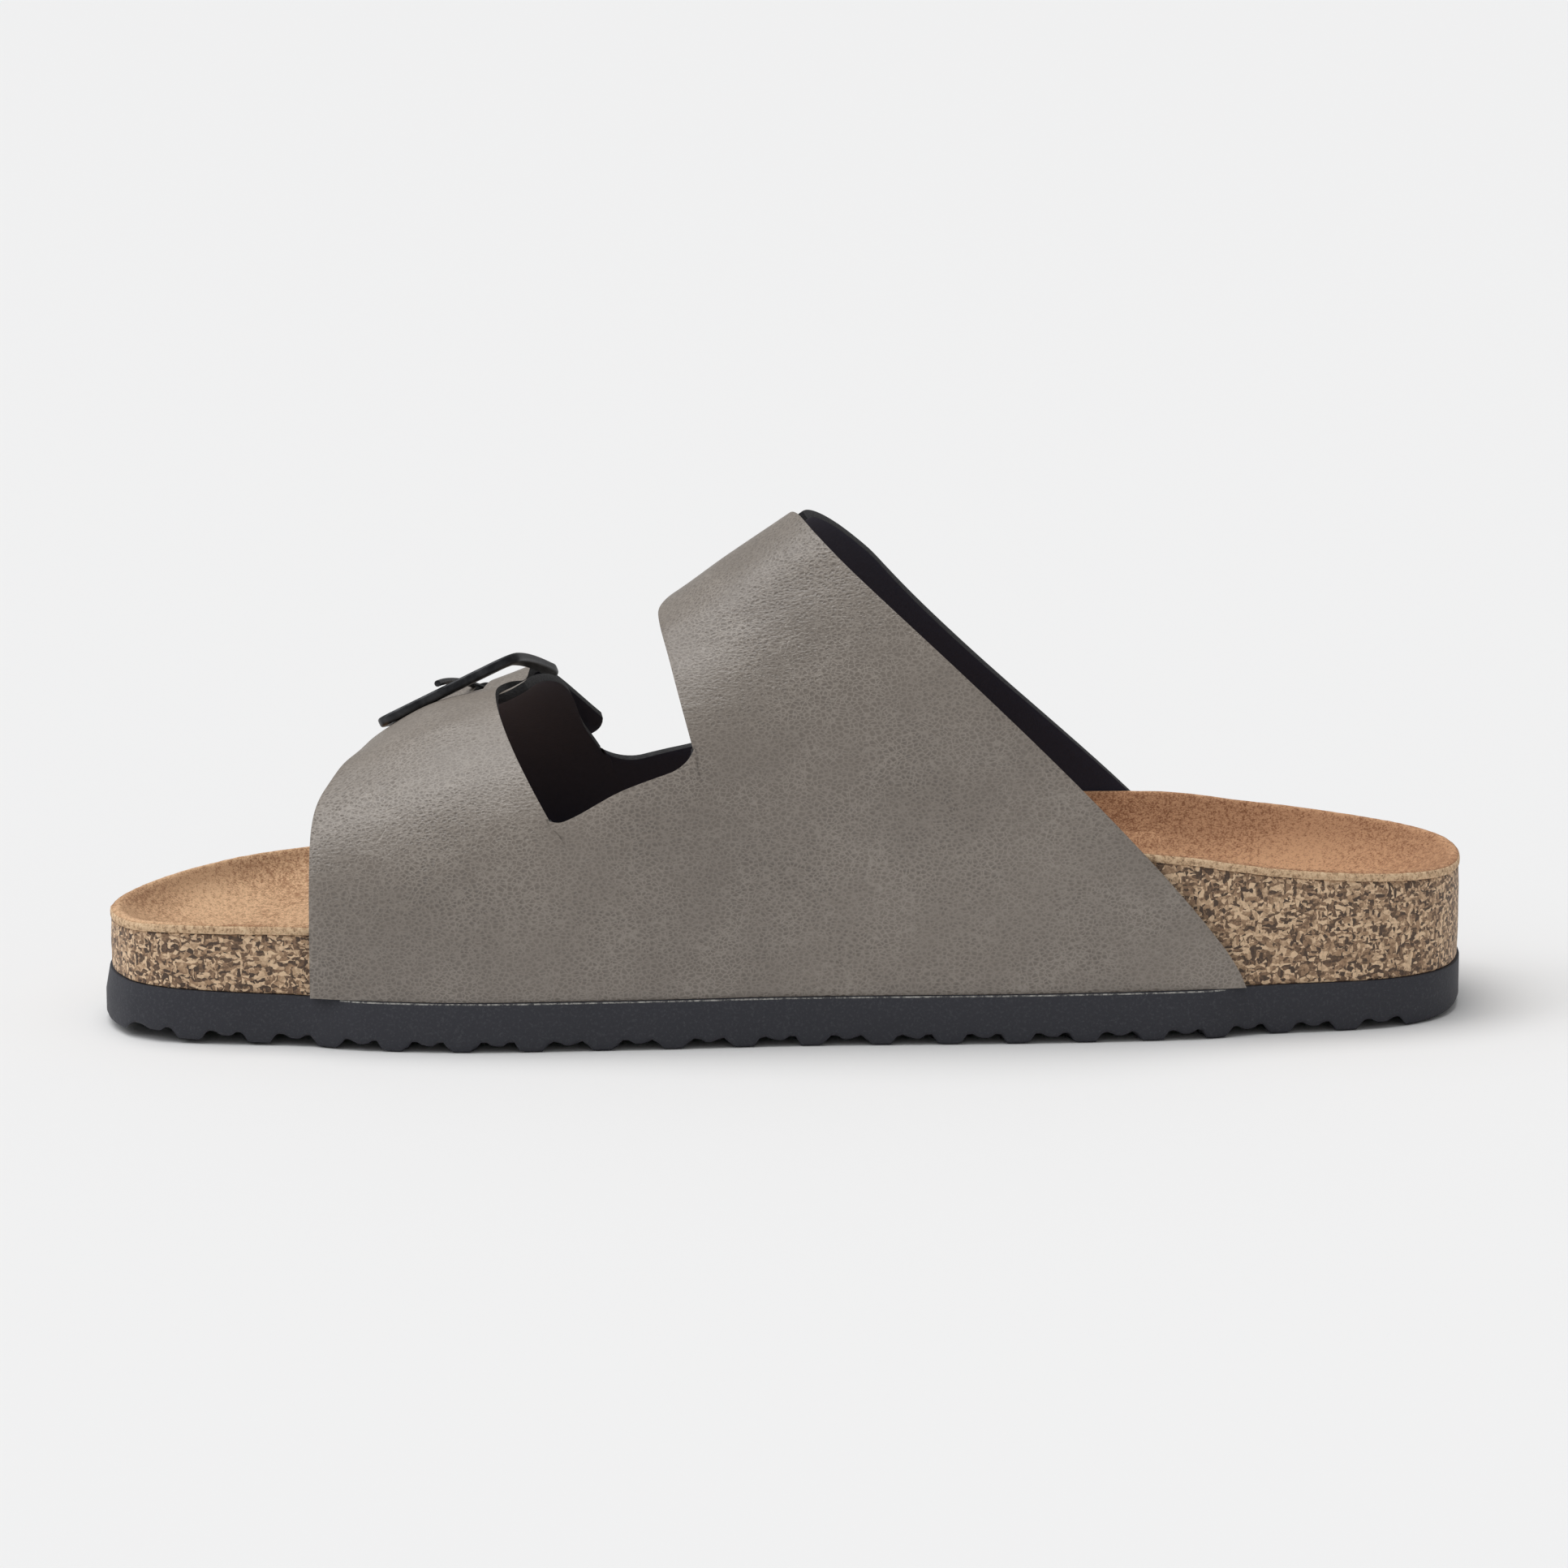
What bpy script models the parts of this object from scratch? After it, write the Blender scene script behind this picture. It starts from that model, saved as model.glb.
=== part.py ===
"""Cork footbed sandal with two buckled straps, for the right foot.

The toe points to -X, the inner (medial) side faces -Y, and +Z is up. The origin is on
the floor under the middle of the sandal. Sizes are in metres.
"""

import math

import bmesh
import bpy
import numpy as np
from mathutils import Vector

MM = 0.001

# Overall sizes
SOLE_LENGTH = 266.6 * MM
BALL_WIDTH = 97 * MM
HEEL_RIM_HEIGHT = 31 * MM
INSTEP_HEIGHT = 96 * MM

# Layers of the sole
OUTSOLE_THICKNESS = 9.9 * MM
TOE_SPRING = 1.3 * MM
TOE_SPRING_SHARE = 0.22
HEEL_ROUND = 1.2 * MM
HEEL_ROUND_SHARE = 0.05
INSOLE_THICKNESS = 1.8 * MM
INSOLE_EDGE_ROUND = 0.5 * MM
OUTSOLE_LEDGE = 0.5 * MM
OUTSOLE_FLARE = 0.8 * MM
OUTSOLE_CORNER = 1.2 * MM

# Tread grooves under the outsole
TREAD_PITCH = 13.4 * MM
TREAD_DEPTH = 1.9 * MM
TREAD_LUG = 4.2 * MM
TREAD_WAVE = 2.6 * MM
TREAD_WAVE_LENGTH = 26 * MM
MID_RIB_DROP = 0.8 * MM

# Upper
WALL = 1.8 * MM
STRAP_WIDTH = 24 * MM
TAB_WIDTH = 30 * MM
TAB_GRIP = 0.5 * MM
STRAP_CLIMB = 14 * MM
TAIL_LENGTH = 24 * MM
TAIL_LIFT = 1.5 * MM

# Buckles
BUCKLE_WIDTH = 31 * MM
BUCKLE_LENGTH = 29 * MM
NEAR_BAR_WIDTH = 4.2 * MM
SIDE_BAR_WIDTH = 2.6 * MM
PIVOT_BAR_WIDTH = 1.8 * MM
BUCKLE_THICKNESS = 2.0 * MM
BUCKLE_CORNER = 5 * MM
BUCKLE_INNER_CORNER = 1 * MM
BUCKLE_EDGE = 0.5 * MM
PRONG_DIAMETER = 1.3 * MM
PRONG_EYE = 3.05 * MM
PRONG_OVERHANG = 1.6 * MM
PRONG_SLOT_WIDTH = 2.2 * MM
PRONG_SLOT_LENGTH = 13 * MM

# Clearances
GAP = 0.3 * MM

OUTLINE_STEPS = 26
RING_SHARES = (0.0, 0.34, 0.58, 0.74, 0.86, 0.94, 1.0)


def table(names, *rows):
    """A table with named columns, each an array."""
    return dict(zip(names.split(), np.array(rows, float).T))


# Footbed outline, seen from above: lengths as shares of SOLE_LENGTH, widths of BALL_WIDTH
OUTLINE = table(
    "share  medial  lateral",
    (0.000, -0.200, -0.200),
    (0.009, -0.320, -0.060),
    (0.025, -0.387, 0.046),
    (0.052, -0.423, 0.170),
    (0.089, -0.441, 0.289),
    (0.126, -0.450, 0.361),
    (0.182, -0.474, 0.443),
    (0.268, -0.497, 0.500),
    (0.388, -0.474, 0.498),
    (0.519, -0.438, 0.454),
    (0.668, -0.421, 0.402),
    (0.780, -0.392, 0.384),
    (0.863, -0.354, 0.361),
    (0.926, -0.320, 0.294),
    (0.967, -0.263, 0.211),
    (0.990, -0.180, 0.124),
    (1.000, -0.020, -0.020),
)

# Top of the footbed: heights as shares of HEEL_RIM_HEIGHT, power is how late the rim rises
FOOTBED = table(
    "share  floor  medial_rim  lateral_rim  medial_power  lateral_power",
    (0.00, 0.560, 0.695, 0.685, 5.0, 5.0),
    (0.05, 0.530, 0.735, 0.700, 5.5, 5.3),
    (0.10, 0.530, 0.752, 0.712, 6.0, 5.5),
    (0.17, 0.580, 0.770, 0.725, 7.0, 6.0),
    (0.25, 0.545, 0.790, 0.745, 7.0, 6.5),
    (0.40, 0.560, 0.940, 0.800, 4.5, 6.0),
    (0.55, 0.620, 1.140, 0.930, 2.6, 4.5),
    (0.68, 0.660, 1.250, 1.070, 2.3, 3.6),
    (0.78, 0.660, 1.180, 1.090, 2.7, 3.3),
    (0.86, 0.665, 1.070, 1.030, 3.0, 3.0),
    (0.93, 0.680, 1.015, 0.995, 3.0, 3.0),
    (1.00, 0.740, 0.975, 0.975, 3.2, 3.2),
)

# Lines over the foot from the inner sole edge to the outer one, front to back. Lengths are
# shares of SOLE_LENGTH, heights of INSTEP_HEIGHT; bend is how late a line leaves its base,
# fullness how square its outer shoulder is.
FOOT_LINES = table(
    "across  crest_x  crest_z  medial_x  lateral_x  spring_z  medial_bend  lateral_bend  fullness",
    (0.00, 0.191, 0.500, 0.156, 0.215, 0.235, 8.00, 3.00, 1.62),
    (0.15, 0.239, 0.565, 0.262, 0.300, 0.250, 2.20, 1.50, 1.62),
    (0.30, 0.290, 0.656, 0.411, 0.425, 0.280, 1.05, 1.10, 1.62),
    (0.50, 0.350, 0.737, 0.445, 0.470, 0.320, 1.10, 1.10, 1.70),
    (0.70, 0.412, 0.815, 0.476, 0.510, 0.345, 1.20, 1.08, 1.80),
    (0.85, 0.464, 0.918, 0.640, 0.660, 0.360, 1.30, 1.07, 1.80),
    (1.00, 0.516, 1.018, 0.838, 0.832, 0.320, 1.25, 1.09, 1.80),
)
CREST_SHARE = -0.09
BASE_TURN = 0.14
MEDIAL_FULLNESS = 2.25

# Where each half of the upper runs over those lines. Girth goes 0 at the inner sole edge,
# 0.5 at the crest, 1 at the outer sole edge. narrow is where a strap gets its own width.
MEDIAL_HALF = dict(
    front=(0.0, 0.30),
    rear=(0.70, 1.0),
    base=0.0,
    notch=(0.241, 0.252),
    notch_rise=(0.012, 0.022),
    notch_turn=(0.06, 0.16),
    lap=(0.370, 0.430),
    narrow=(0.47, 0.56),
)
LATERAL_HALF = dict(
    front=(0.0, 0.385),
    rear=(0.66, 1.0),
    base=1.0,
    notch=(0.785, 0.797),
    notch_rise=(-0.032, -0.030),
    notch_turn=(0.22, 0.30),
    end=0.440,
    narrow=(0.68, 0.58),
)


def ramp(start, end, value):
    """0 before start, 1 after end, smooth between."""
    share = min(1.0, max(0.0, (value - start) / (end - start)))
    return share * share * (3 - 2 * share)


def mix(a, b, share):
    return a + (b - a) * share


def smooth_curve(known, values):
    """A cubic through the points whose slopes never overshoot, straight beyond its ends."""
    steps = np.diff(known)
    rises = np.diff(values) / steps
    slopes = np.zeros(len(known))
    slopes[0], slopes[-1] = rises[0], rises[-1]
    for i in range(1, len(known) - 1):
        if rises[i - 1] * rises[i] > 0:
            before, after = 2 * steps[i] + steps[i - 1], steps[i] + 2 * steps[i - 1]
            slopes[i] = (before + after) / (before / rises[i - 1] + after / rises[i])

    def read(at):
        if at < known[0]:
            return float(values[0] + slopes[0] * (at - known[0]))
        if at > known[-1]:
            return float(values[-1] + slopes[-1] * (at - known[-1]))
        i = min(int(np.searchsorted(known, at, side="right")) - 1, len(known) - 2)
        i = max(i, 0)
        t = (at - known[i]) / steps[i]
        return float(
            values[i] * (1 + 2 * t) * (1 - t) ** 2
            + slopes[i] * steps[i] * t * (1 - t) ** 2
            + values[i + 1] * t * t * (3 - 2 * t)
            + slopes[i + 1] * steps[i] * t * t * (t - 1)
        )

    return read


def turn_of(share):
    """Angle whose cosine places a length share, so that round ends are well spaced."""
    return math.acos(1 - 2 * min(1.0, max(0.0, share)))


OUTLINE_TURNS = np.array([turn_of(share) for share in OUTLINE["share"]])
MEDIAL_EDGE = smooth_curve(OUTLINE_TURNS, OUTLINE["medial"] * BALL_WIDTH)
LATERAL_EDGE = smooth_curve(OUTLINE_TURNS, OUTLINE["lateral"] * BALL_WIDTH)
BED = {name: smooth_curve(FOOTBED["share"], FOOTBED[name]) for name in FOOTBED}
LINE = {name: smooth_curve(FOOT_LINES["across"], FOOT_LINES[name]) for name in FOOT_LINES}


def share_of(x):
    return x / SOLE_LENGTH + 0.5


def x_of(share):
    return (share - 0.5) * SOLE_LENGTH


def toe_lift(x):
    """Toe spring: how far the sole is lifted off the floor at x."""
    before = (TOE_SPRING_SHARE - share_of(x)) / TOE_SPRING_SHARE
    return TOE_SPRING * max(0.0, before) ** 2


def ground_lift(x):
    """The lift of the tread: the toe spring and the rounded heel."""
    past = (share_of(x) - 1 + HEEL_ROUND_SHARE) / HEEL_ROUND_SHARE
    return toe_lift(x) + HEEL_ROUND * max(0.0, past) ** 2


def outline(grow=None):
    """Points round the footbed from the toe along the inner side to the heel and back.

    grow(share) moves each point outwards.
    """
    turns = [math.pi * i / OUTLINE_STEPS for i in range(OUTLINE_STEPS + 1)]
    points = [(x_of((1 - math.cos(t)) / 2), MEDIAL_EDGE(t)) for t in turns]
    points += [(x_of((1 - math.cos(t)) / 2), LATERAL_EDGE(t)) for t in turns[-2:0:-1]]
    if grow is None:
        return points
    grown = []
    for i, (x, y) in enumerate(points):
        (x0, y0), (x1, y1) = points[i - 1], points[(i + 1) % len(points)]
        along = Vector((x1 - x0, y1 - y0)).normalized()
        out = grow(share_of(x))
        grown.append((x + along.y * out, y - along.x * out))
    return grown


def cover_share(share):
    """1 where the leather covers the side of the footbed, 0 at toe and heel."""
    front = MEDIAL_START - 0.01
    back = MEDIAL_END + 0.01
    return ramp(front, front + 0.05, share) * (1 - ramp(back - 0.05, back, share))


MEDIAL_START = FOOT_LINES["medial_x"][0]
MEDIAL_END = FOOT_LINES["medial_x"][-1]


def outsole_reach(share):
    """How far the outsole's top edge stands out from the footbed's side."""
    return OUTSOLE_LEDGE + (WALL + GAP) * cover_share(share)


def bed_height(x, y_share, side_is_medial, reach):
    """Top of the footbed. reach is 0 on the middle line and 1 at the edge."""
    share = share_of(x)
    side = "medial" if side_is_medial else "lateral"
    floor = BED["floor"](share) * HEEL_RIM_HEIGHT
    medial_rim = BED["medial_rim"](share) * HEEL_RIM_HEIGHT
    lateral_rim = BED["lateral_rim"](share) * HEEL_RIM_HEIGHT
    rim = mix(medial_rim, lateral_rim, y_share)
    power = BED[side + "_power"](share)
    rise = min(1.0, reach / 0.96) ** power
    return toe_lift(x) + mix(floor, rim, rise)


def spine_point(x):
    """The middle line that the footbed's rings shrink to."""
    share = min(0.86, max(0.13, share_of(x)))
    turn = turn_of(share)
    return x_of(share), (MEDIAL_EDGE(turn) + LATERAL_EDGE(turn)) / 2


def add_object(name, bm, material=None, smooth_angle=35):
    mesh = bpy.data.meshes.new(name)
    bm.to_mesh(mesh)
    bm.free()
    obj = bpy.data.objects.new(name, mesh)
    bpy.context.scene.collection.objects.link(obj)
    if material:
        mesh.materials.append(material)
        mesh.shade_smooth()
        mesh.set_sharp_from_angle(angle=math.radians(smooth_angle))
    return obj


def hide(obj):
    obj.hide_render = True
    obj.display_type = "WIRE"
    return obj


def material(name, colour, roughness, metallic=0.0):
    made = bpy.data.materials.new(name)
    made.use_nodes = True
    shader = made.node_tree.nodes["Principled BSDF"]
    shader.inputs["Base Color"].default_value = (*colour, 1)
    shader.inputs["Roughness"].default_value = roughness
    shader.inputs["Metallic"].default_value = metallic
    return made


def bridge_rings(bm, rings):
    """Quads between each closed ring of vertices and the next."""
    for lower, upper in zip(rings, rings[1:]):
        count = len(lower)
        for i in range(count):
            j = (i + 1) % count
            corners = [lower[i], lower[j], upper[j], upper[i]]
            unique = list(dict.fromkeys(corners))
            if len(unique) > 2:
                bm.faces.new(unique)


def ladder_cap(bm, ring):
    """Closes an outline ring with rungs from its inner side to its outer side."""
    count = len(ring)
    for i in range(OUTLINE_STEPS):
        corners = [ring[i], ring[i + 1], ring[(count - i - 1) % count], ring[(count - i) % count]]
        bm.faces.new(list(dict.fromkeys(corners)))


def bed_rings(bm, drop, edge_drop=0.0):
    """Rings of vertices over the footbed's top, lowered by drop, edge first."""
    edge_points = outline()
    count = len(edge_points)
    rings = []
    for reach in reversed(RING_SHARES):
        ring = []
        for i, (x, y) in enumerate(edge_points):
            spine_x, spine_y = spine_point(x)
            at_x, at_y = mix(spine_x, x, reach), mix(spine_y, y, reach)
            turn = turn_of(share_of(x))
            width = LATERAL_EDGE(turn) - MEDIAL_EDGE(turn)
            y_share = 0.5 if width < MM else (y - MEDIAL_EDGE(turn)) / width
            z = bed_height(at_x, y_share, i <= OUTLINE_STEPS and y < spine_y, reach) - drop
            if reach == 1.0:
                z -= edge_drop
            if reach == 0.0 and i > OUTLINE_STEPS:
                ring.append(ring[(count - i) % count])
            elif reach == 0.0 and ring and abs(at_x - ring[-1].co.x) < 1e-6:
                ring.append(ring[-1])
            else:
                ring.append(bm.verts.new((at_x, at_y, z)))
        rings.append(ring)
    return rings


def close_solid(bm):
    bmesh.ops.remove_doubles(bm, verts=bm.verts, dist=1e-7)
    bmesh.ops.recalc_face_normals(bm, faces=bm.faces)


def make_footbed(look):
    """The cork body between outsole and insole."""
    bm = bmesh.new()
    base = OUTSOLE_THICKNESS + GAP
    foot = [bm.verts.new((x, y, base + toe_lift(x))) for x, y in outline()]
    rings = bed_rings(bm, INSOLE_THICKNESS + GAP)
    ladder_cap(bm, foot)
    bridge_rings(bm, [foot] + rings)
    close_solid(bm)
    return add_object("footbed", bm, look)


def make_insole(look):
    """The suede liner that covers the footbed out to its edge."""
    bm = bmesh.new()
    top = bed_rings(bm, 0.0, INSOLE_EDGE_ROUND)
    below = bed_rings(bm, INSOLE_THICKNESS)
    bridge_rings(bm, list(reversed(top)))
    bridge_rings(bm, [top[0], below[0]])
    bridge_rings(bm, below)
    close_solid(bm)
    return add_object("insole", bm, look)


def tread_cutter():
    """All the grooves: between two main lugs runs a lower rib, and both wave across."""
    bm = bmesh.new()
    half_width = BALL_WIDTH * 0.62
    start = x_of(0.0) + 0.35 * TREAD_PITCH
    count = int((SOLE_LENGTH - 0.5 * TREAD_PITCH) / TREAD_PITCH)
    groove = TREAD_PITCH - TREAD_LUG
    profile = (
        (0.00, -1.0),
        (0.00, 0.0),
        (0.12, 1.0),
        (0.30, 1.0),
        (0.40, 1.0 - MID_RIB_DROP / TREAD_DEPTH),
        (0.60, 1.0 - MID_RIB_DROP / TREAD_DEPTH),
        (0.70, 1.0),
        (0.88, 1.0),
        (1.00, 0.0),
        (1.00, -1.0),
    )
    steps = 10
    for n in range(count):
        left = start + n * TREAD_PITCH
        rings = []
        for step in range(steps + 1):
            y = mix(-half_width, half_width, step / steps)
            wave = TREAD_WAVE * math.sin(2 * math.pi * y / TREAD_WAVE_LENGTH) / 2
            ring = []
            for along, up in profile:
                x = left + along * groove + wave
                ring.append(bm.verts.new((x, y, ground_lift(x) + up * TREAD_DEPTH)))
            rings.append(ring)
        bridge_rings(bm, rings)
        bm.faces.new(rings[0])
        bm.faces.new(rings[-1])
    close_solid(bm)
    return hide(add_object("tread_cutter", bm))


def make_outsole(look):
    bm = bmesh.new()

    def flared(share):
        return outsole_reach(share) + OUTSOLE_FLARE * (1 - ramp(0.0, 0.3, share))

    levels = (
        (outline(lambda share: outsole_reach(share) - OUTSOLE_CORNER), ground_lift),
        (outline(flared), lambda x: ground_lift(x) + OUTSOLE_CORNER),
        (outline(outsole_reach), lambda x: toe_lift(x) + OUTSOLE_THICKNESS),
    )
    rings = [[bm.verts.new((x, y, height(x))) for x, y in points] for points, height in levels]
    ladder_cap(bm, rings[0])
    bridge_rings(bm, rings)
    ladder_cap(bm, rings[-1])
    close_solid(bm)
    sole = add_object("outsole", bm, look)
    cut = sole.modifiers.new("tread", "BOOLEAN")
    cut.operation = "DIFFERENCE"
    cut.object = tread_cutter()
    return sole


def foot_point(across, girth):
    """A point of the foot's surface, which the upper's inner face follows."""
    medial = girth <= 0.5
    side = "medial" if medial else "lateral"
    from_base = girth if medial else 1 - girth
    base_z = OUTSOLE_THICKNESS + GAP
    crest_z = LINE["crest_z"](across) * INSTEP_HEIGHT
    spring_z = LINE["spring_z"](across) * INSTEP_HEIGHT
    power = MEDIAL_FULLNESS if medial else LINE["fullness"](across)
    if from_base <= BASE_TURN:
        z = mix(base_z, spring_z, from_base / BASE_TURN)
        inward = 0.0
    else:
        angle = (from_base - BASE_TURN) / (0.5 - BASE_TURN) * math.pi / 2
        z = mix(spring_z, crest_z, math.sin(angle) ** (2 / power))
        inward = 1 - math.cos(angle) ** (2 / power)
    climb = (z - base_z) / (crest_z - base_z)
    base_x = x_of(LINE[side + "_x"](across))
    x = mix(base_x, x_of(LINE["crest_x"](across)), climb ** LINE[side + "_bend"](across))
    turn = turn_of(share_of(x))
    edge = MEDIAL_EDGE(turn) - GAP if medial else LATERAL_EDGE(turn) + GAP
    y = mix(edge, CREST_SHARE * BALL_WIDTH, inward)
    return Vector((x, y, z + toe_lift(x)))


def foot_normal(across, girth):
    step = 0.004
    under, over = max(0.0, girth - step), min(1.0, girth + step)
    along = foot_point(across + step, girth) - foot_point(across - step, girth)
    around = foot_point(across, over) - foot_point(across, under)
    return around.cross(along).normalized() * -1


def shell_point(across, girth, height):
    """A point at that height over the foot."""
    return foot_point(across, girth) + foot_normal(across, girth) * height


class Strap:
    """A strap's course over the foot. Its buckle begins at buckle_girth."""

    def __init__(self, middle, skew, buckle_girth):
        self.start, self.skew = middle, skew
        self.girths = np.linspace(0.40, 0.96, 141)
        points = [foot_point(self.middle(girth), girth) for girth in self.girths]
        steps = [(b - a).length for a, b in zip(points, points[1:])]
        lengths = np.concatenate([[0], np.cumsum(steps)])
        self.lengths = lengths - np.interp(buckle_girth, self.girths, lengths)

    def middle(self, girth):
        return self.start + self.skew * (girth - 0.5)

    def distance(self, girth):
        """Distance along the strap's middle from the buckle's near edge."""
        return float(np.interp(girth, self.girths, self.lengths))

    def girth(self, distance):
        return float(np.interp(distance, self.lengths, self.girths))

    def edges(self, girth, width):
        """The two across values that lie half a width each side of the middle."""
        found = []
        for side in (-1, 1):
            steps = [self.middle(girth) + side * 0.05 * n for n in range(7)]
            points = [foot_point(across, girth) for across in steps]
            reach = np.cumsum([0] + [(b - a).length for a, b in zip(points, points[1:])])
            found.append(float(np.interp(width / 2, reach, steps)))
        return found

    def bar(self, girth):
        """Where a straight bar across the strap rests: its middle, direction and up."""
        first, last = (foot_point(edge, girth) for edge in self.edges(girth, BUCKLE_WIDTH))
        along = foot_point(self.middle(girth + 0.01), girth + 0.01)
        along -= foot_point(self.middle(girth - 0.01), girth - 0.01)
        across = (last - first).normalized()
        up = across.cross(along).normalized()
        if up.z < 0:
            up.negate()
        middle = foot_point(self.middle(girth), girth)
        rise = max(0.0, ((first + last) / 2 - middle).dot(up))
        return middle + up * rise, across, up


PIVOT_ALONG = BUCKLE_LENGTH - PIVOT_BAR_WIDTH / 2
LAP_HEIGHT = WALL - TAB_GRIP
FRAME_HEIGHT = WALL + GAP + PRONG_EYE
OVER_PIVOT = FRAME_HEIGHT + BUCKLE_THICKNESS / 2 + GAP
TAIL_HEIGHT = WALL + TAIL_LIFT
STRAPS = (Strap(0.163, 0.66, 0.530), Strap(0.855, 0.05, 0.615))
TABS = (Strap(0.192, 0.42, 0.5), Strap(0.868, 0.25, 0.5))


def strap_height(strap, girth, across):
    """How far the inner half stands over the foot: it laps the tab, climbs over the
    buckle's pivot bar and sinks again towards its tail."""
    height = LAP_HEIGHT * ramp(*MEDIAL_HALF["lap"], girth)
    if strap is None:
        return height
    distance = strap.distance(girth)
    middle, _, up = strap.bar(girth)
    top = OVER_PIVOT + max(0.0, (middle - foot_point(across, girth)).dot(up))
    top /= foot_normal(across, girth).dot(up)
    climbed = ramp(PIVOT_ALONG - STRAP_CLIMB, PIVOT_ALONG - PRONG_EYE, distance)
    sunk = ramp(PIVOT_ALONG + PRONG_EYE, PIVOT_ALONG + TAIL_LENGTH, distance)
    return height + (top - height) * climbed + (TAIL_HEIGHT - top) * sunk


FRONT_COLUMNS, REAR_COLUMNS = 6, 7
NOTCH_SHARES = (0.0, 0.02, 0.06, 0.13, 0.25, 0.5, 0.75, 0.87, 0.95, 1.0)
NOTCH_COLUMNS = len(NOTCH_SHARES) - 1
BASE_ROWS, STRAP_ROWS = 5, 36


def column_across(j, marks):
    """The across value of column j, given the four edge values front to rear."""
    if j <= FRONT_COLUMNS:
        return mix(marks[0], marks[1], j / FRONT_COLUMNS)
    if j < FRONT_COLUMNS + NOTCH_COLUMNS:
        return mix(marks[1], marks[2], NOTCH_SHARES[j - FRONT_COLUMNS])
    return mix(marks[2], marks[3], (j - FRONT_COLUMNS - NOTCH_COLUMNS) / REAR_COLUMNS)


def edge_marks(half, straps, width, girth):
    """The across values of the front strap's and rear strap's edges at that girth."""
    first, last = half["narrow"]
    share = ramp(0, 1, (girth - first) / (last - first))
    marks = []
    for strap, quarter in zip(straps, (half["front"], half["rear"])):
        for own, narrow in zip(quarter, strap.edges(max(girth, 0.41), width)):
            marks.append(mix(own, narrow, share))
    return marks


def corner_girth(half, share):
    """The girth of the cut-out's edge, with its two corners rounded."""
    girth = mix(*half["notch"], share)
    for rise, turn, from_corner in zip(half["notch_rise"], half["notch_turn"], (share, 1 - share)):
        if from_corner < turn:
            girth += rise * (1 - math.sqrt(1 - (1 - from_corner / turn) ** 2))
    return girth


def make_half(name, half, straps, width, ends, height_of):
    """Half of the upper: a quarter along the sole with a strap or tab at each end."""
    bm = bmesh.new()
    verts = {}
    second = FRONT_COLUMNS + NOTCH_COLUMNS
    for j in range(second + REAR_COLUMNS + 1):
        in_front, in_rear = j <= FRONT_COLUMNS, j >= second
        strap, end = (straps[0], ends[0]) if in_front else (straps[1], ends[1])
        if in_front or in_rear:
            start, count = (0, FRONT_COLUMNS) if in_front else (second, REAR_COLUMNS)
            side = abs(2 * (j - start) / count - 1)
            corner = corner_girth(half, 0.0 if in_front else 1.0)
            end = mix(end, corner, 0.03 * side**4)
        else:
            corner = corner_girth(half, NOTCH_SHARES[j - FRONT_COLUMNS])
        for i in range(BASE_ROWS + STRAP_ROWS + 1):
            if i <= BASE_ROWS:
                girth = mix(half["base"], corner, i / BASE_ROWS)
            elif in_front or in_rear:
                girth = mix(corner, end, (i - BASE_ROWS) / STRAP_ROWS)
            else:
                continue
            across = column_across(j, edge_marks(half, straps, width, girth))
            height = height_of(strap if i > BASE_ROWS else None, girth, across) + WALL / 2
            verts[i, j] = bm.verts.new(shell_point(across, girth, height))
    for i, j in verts:
        corners = [(i, j), (i, j + 1), (i + 1, j + 1), (i + 1, j)]
        if all(corner in verts for corner in corners):
            bm.faces.new([verts[corner] for corner in corners])
    bmesh.ops.recalc_face_normals(bm, faces=bm.faces)
    sheet = add_object(name, bm)
    wall = sheet.modifiers.new("wall", "SOLIDIFY")
    wall.thickness = WALL
    wall.offset = 0
    wall.use_even_offset = True
    return sheet


def boolean(obj, name, operation, other):
    modifier = obj.modifiers.new(name, "BOOLEAN")
    modifier.operation = operation
    modifier.object = other
    return modifier


def buckle_point(strap, across, along, height):
    """A point over the strap: along is from the buckle's near edge, across from its middle.

    The buckle bends with the strap along its length and is straight across.
    """
    middle, cross_way, up = strap.bar(strap.girth(along))
    return middle + cross_way * across + up * height


def rounded_rectangle(half_width, start, end, corner, arc_steps=3, side_steps=6):
    """Points round a rectangle with round corners and evenly divided long sides."""
    points = []
    centres = ((1, end), (-1, end), (-1, start), (1, start))
    for k, (side, along) in enumerate(centres):
        inward = -corner if along == end else corner
        for n in range(arc_steps + 1):
            angle = math.pi / 2 * (k + n / arc_steps)
            x = side * (half_width - corner) + corner * math.cos(angle)
            points.append((x, along + inward + corner * math.sin(angle)))
        if k % 2:
            first, last = (end - corner, start + corner) if k == 1 else (start + corner, end - corner)
            for n in range(1, side_steps):
                points.append((side * half_width, mix(first, last, n / side_steps)))
    return points


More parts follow.
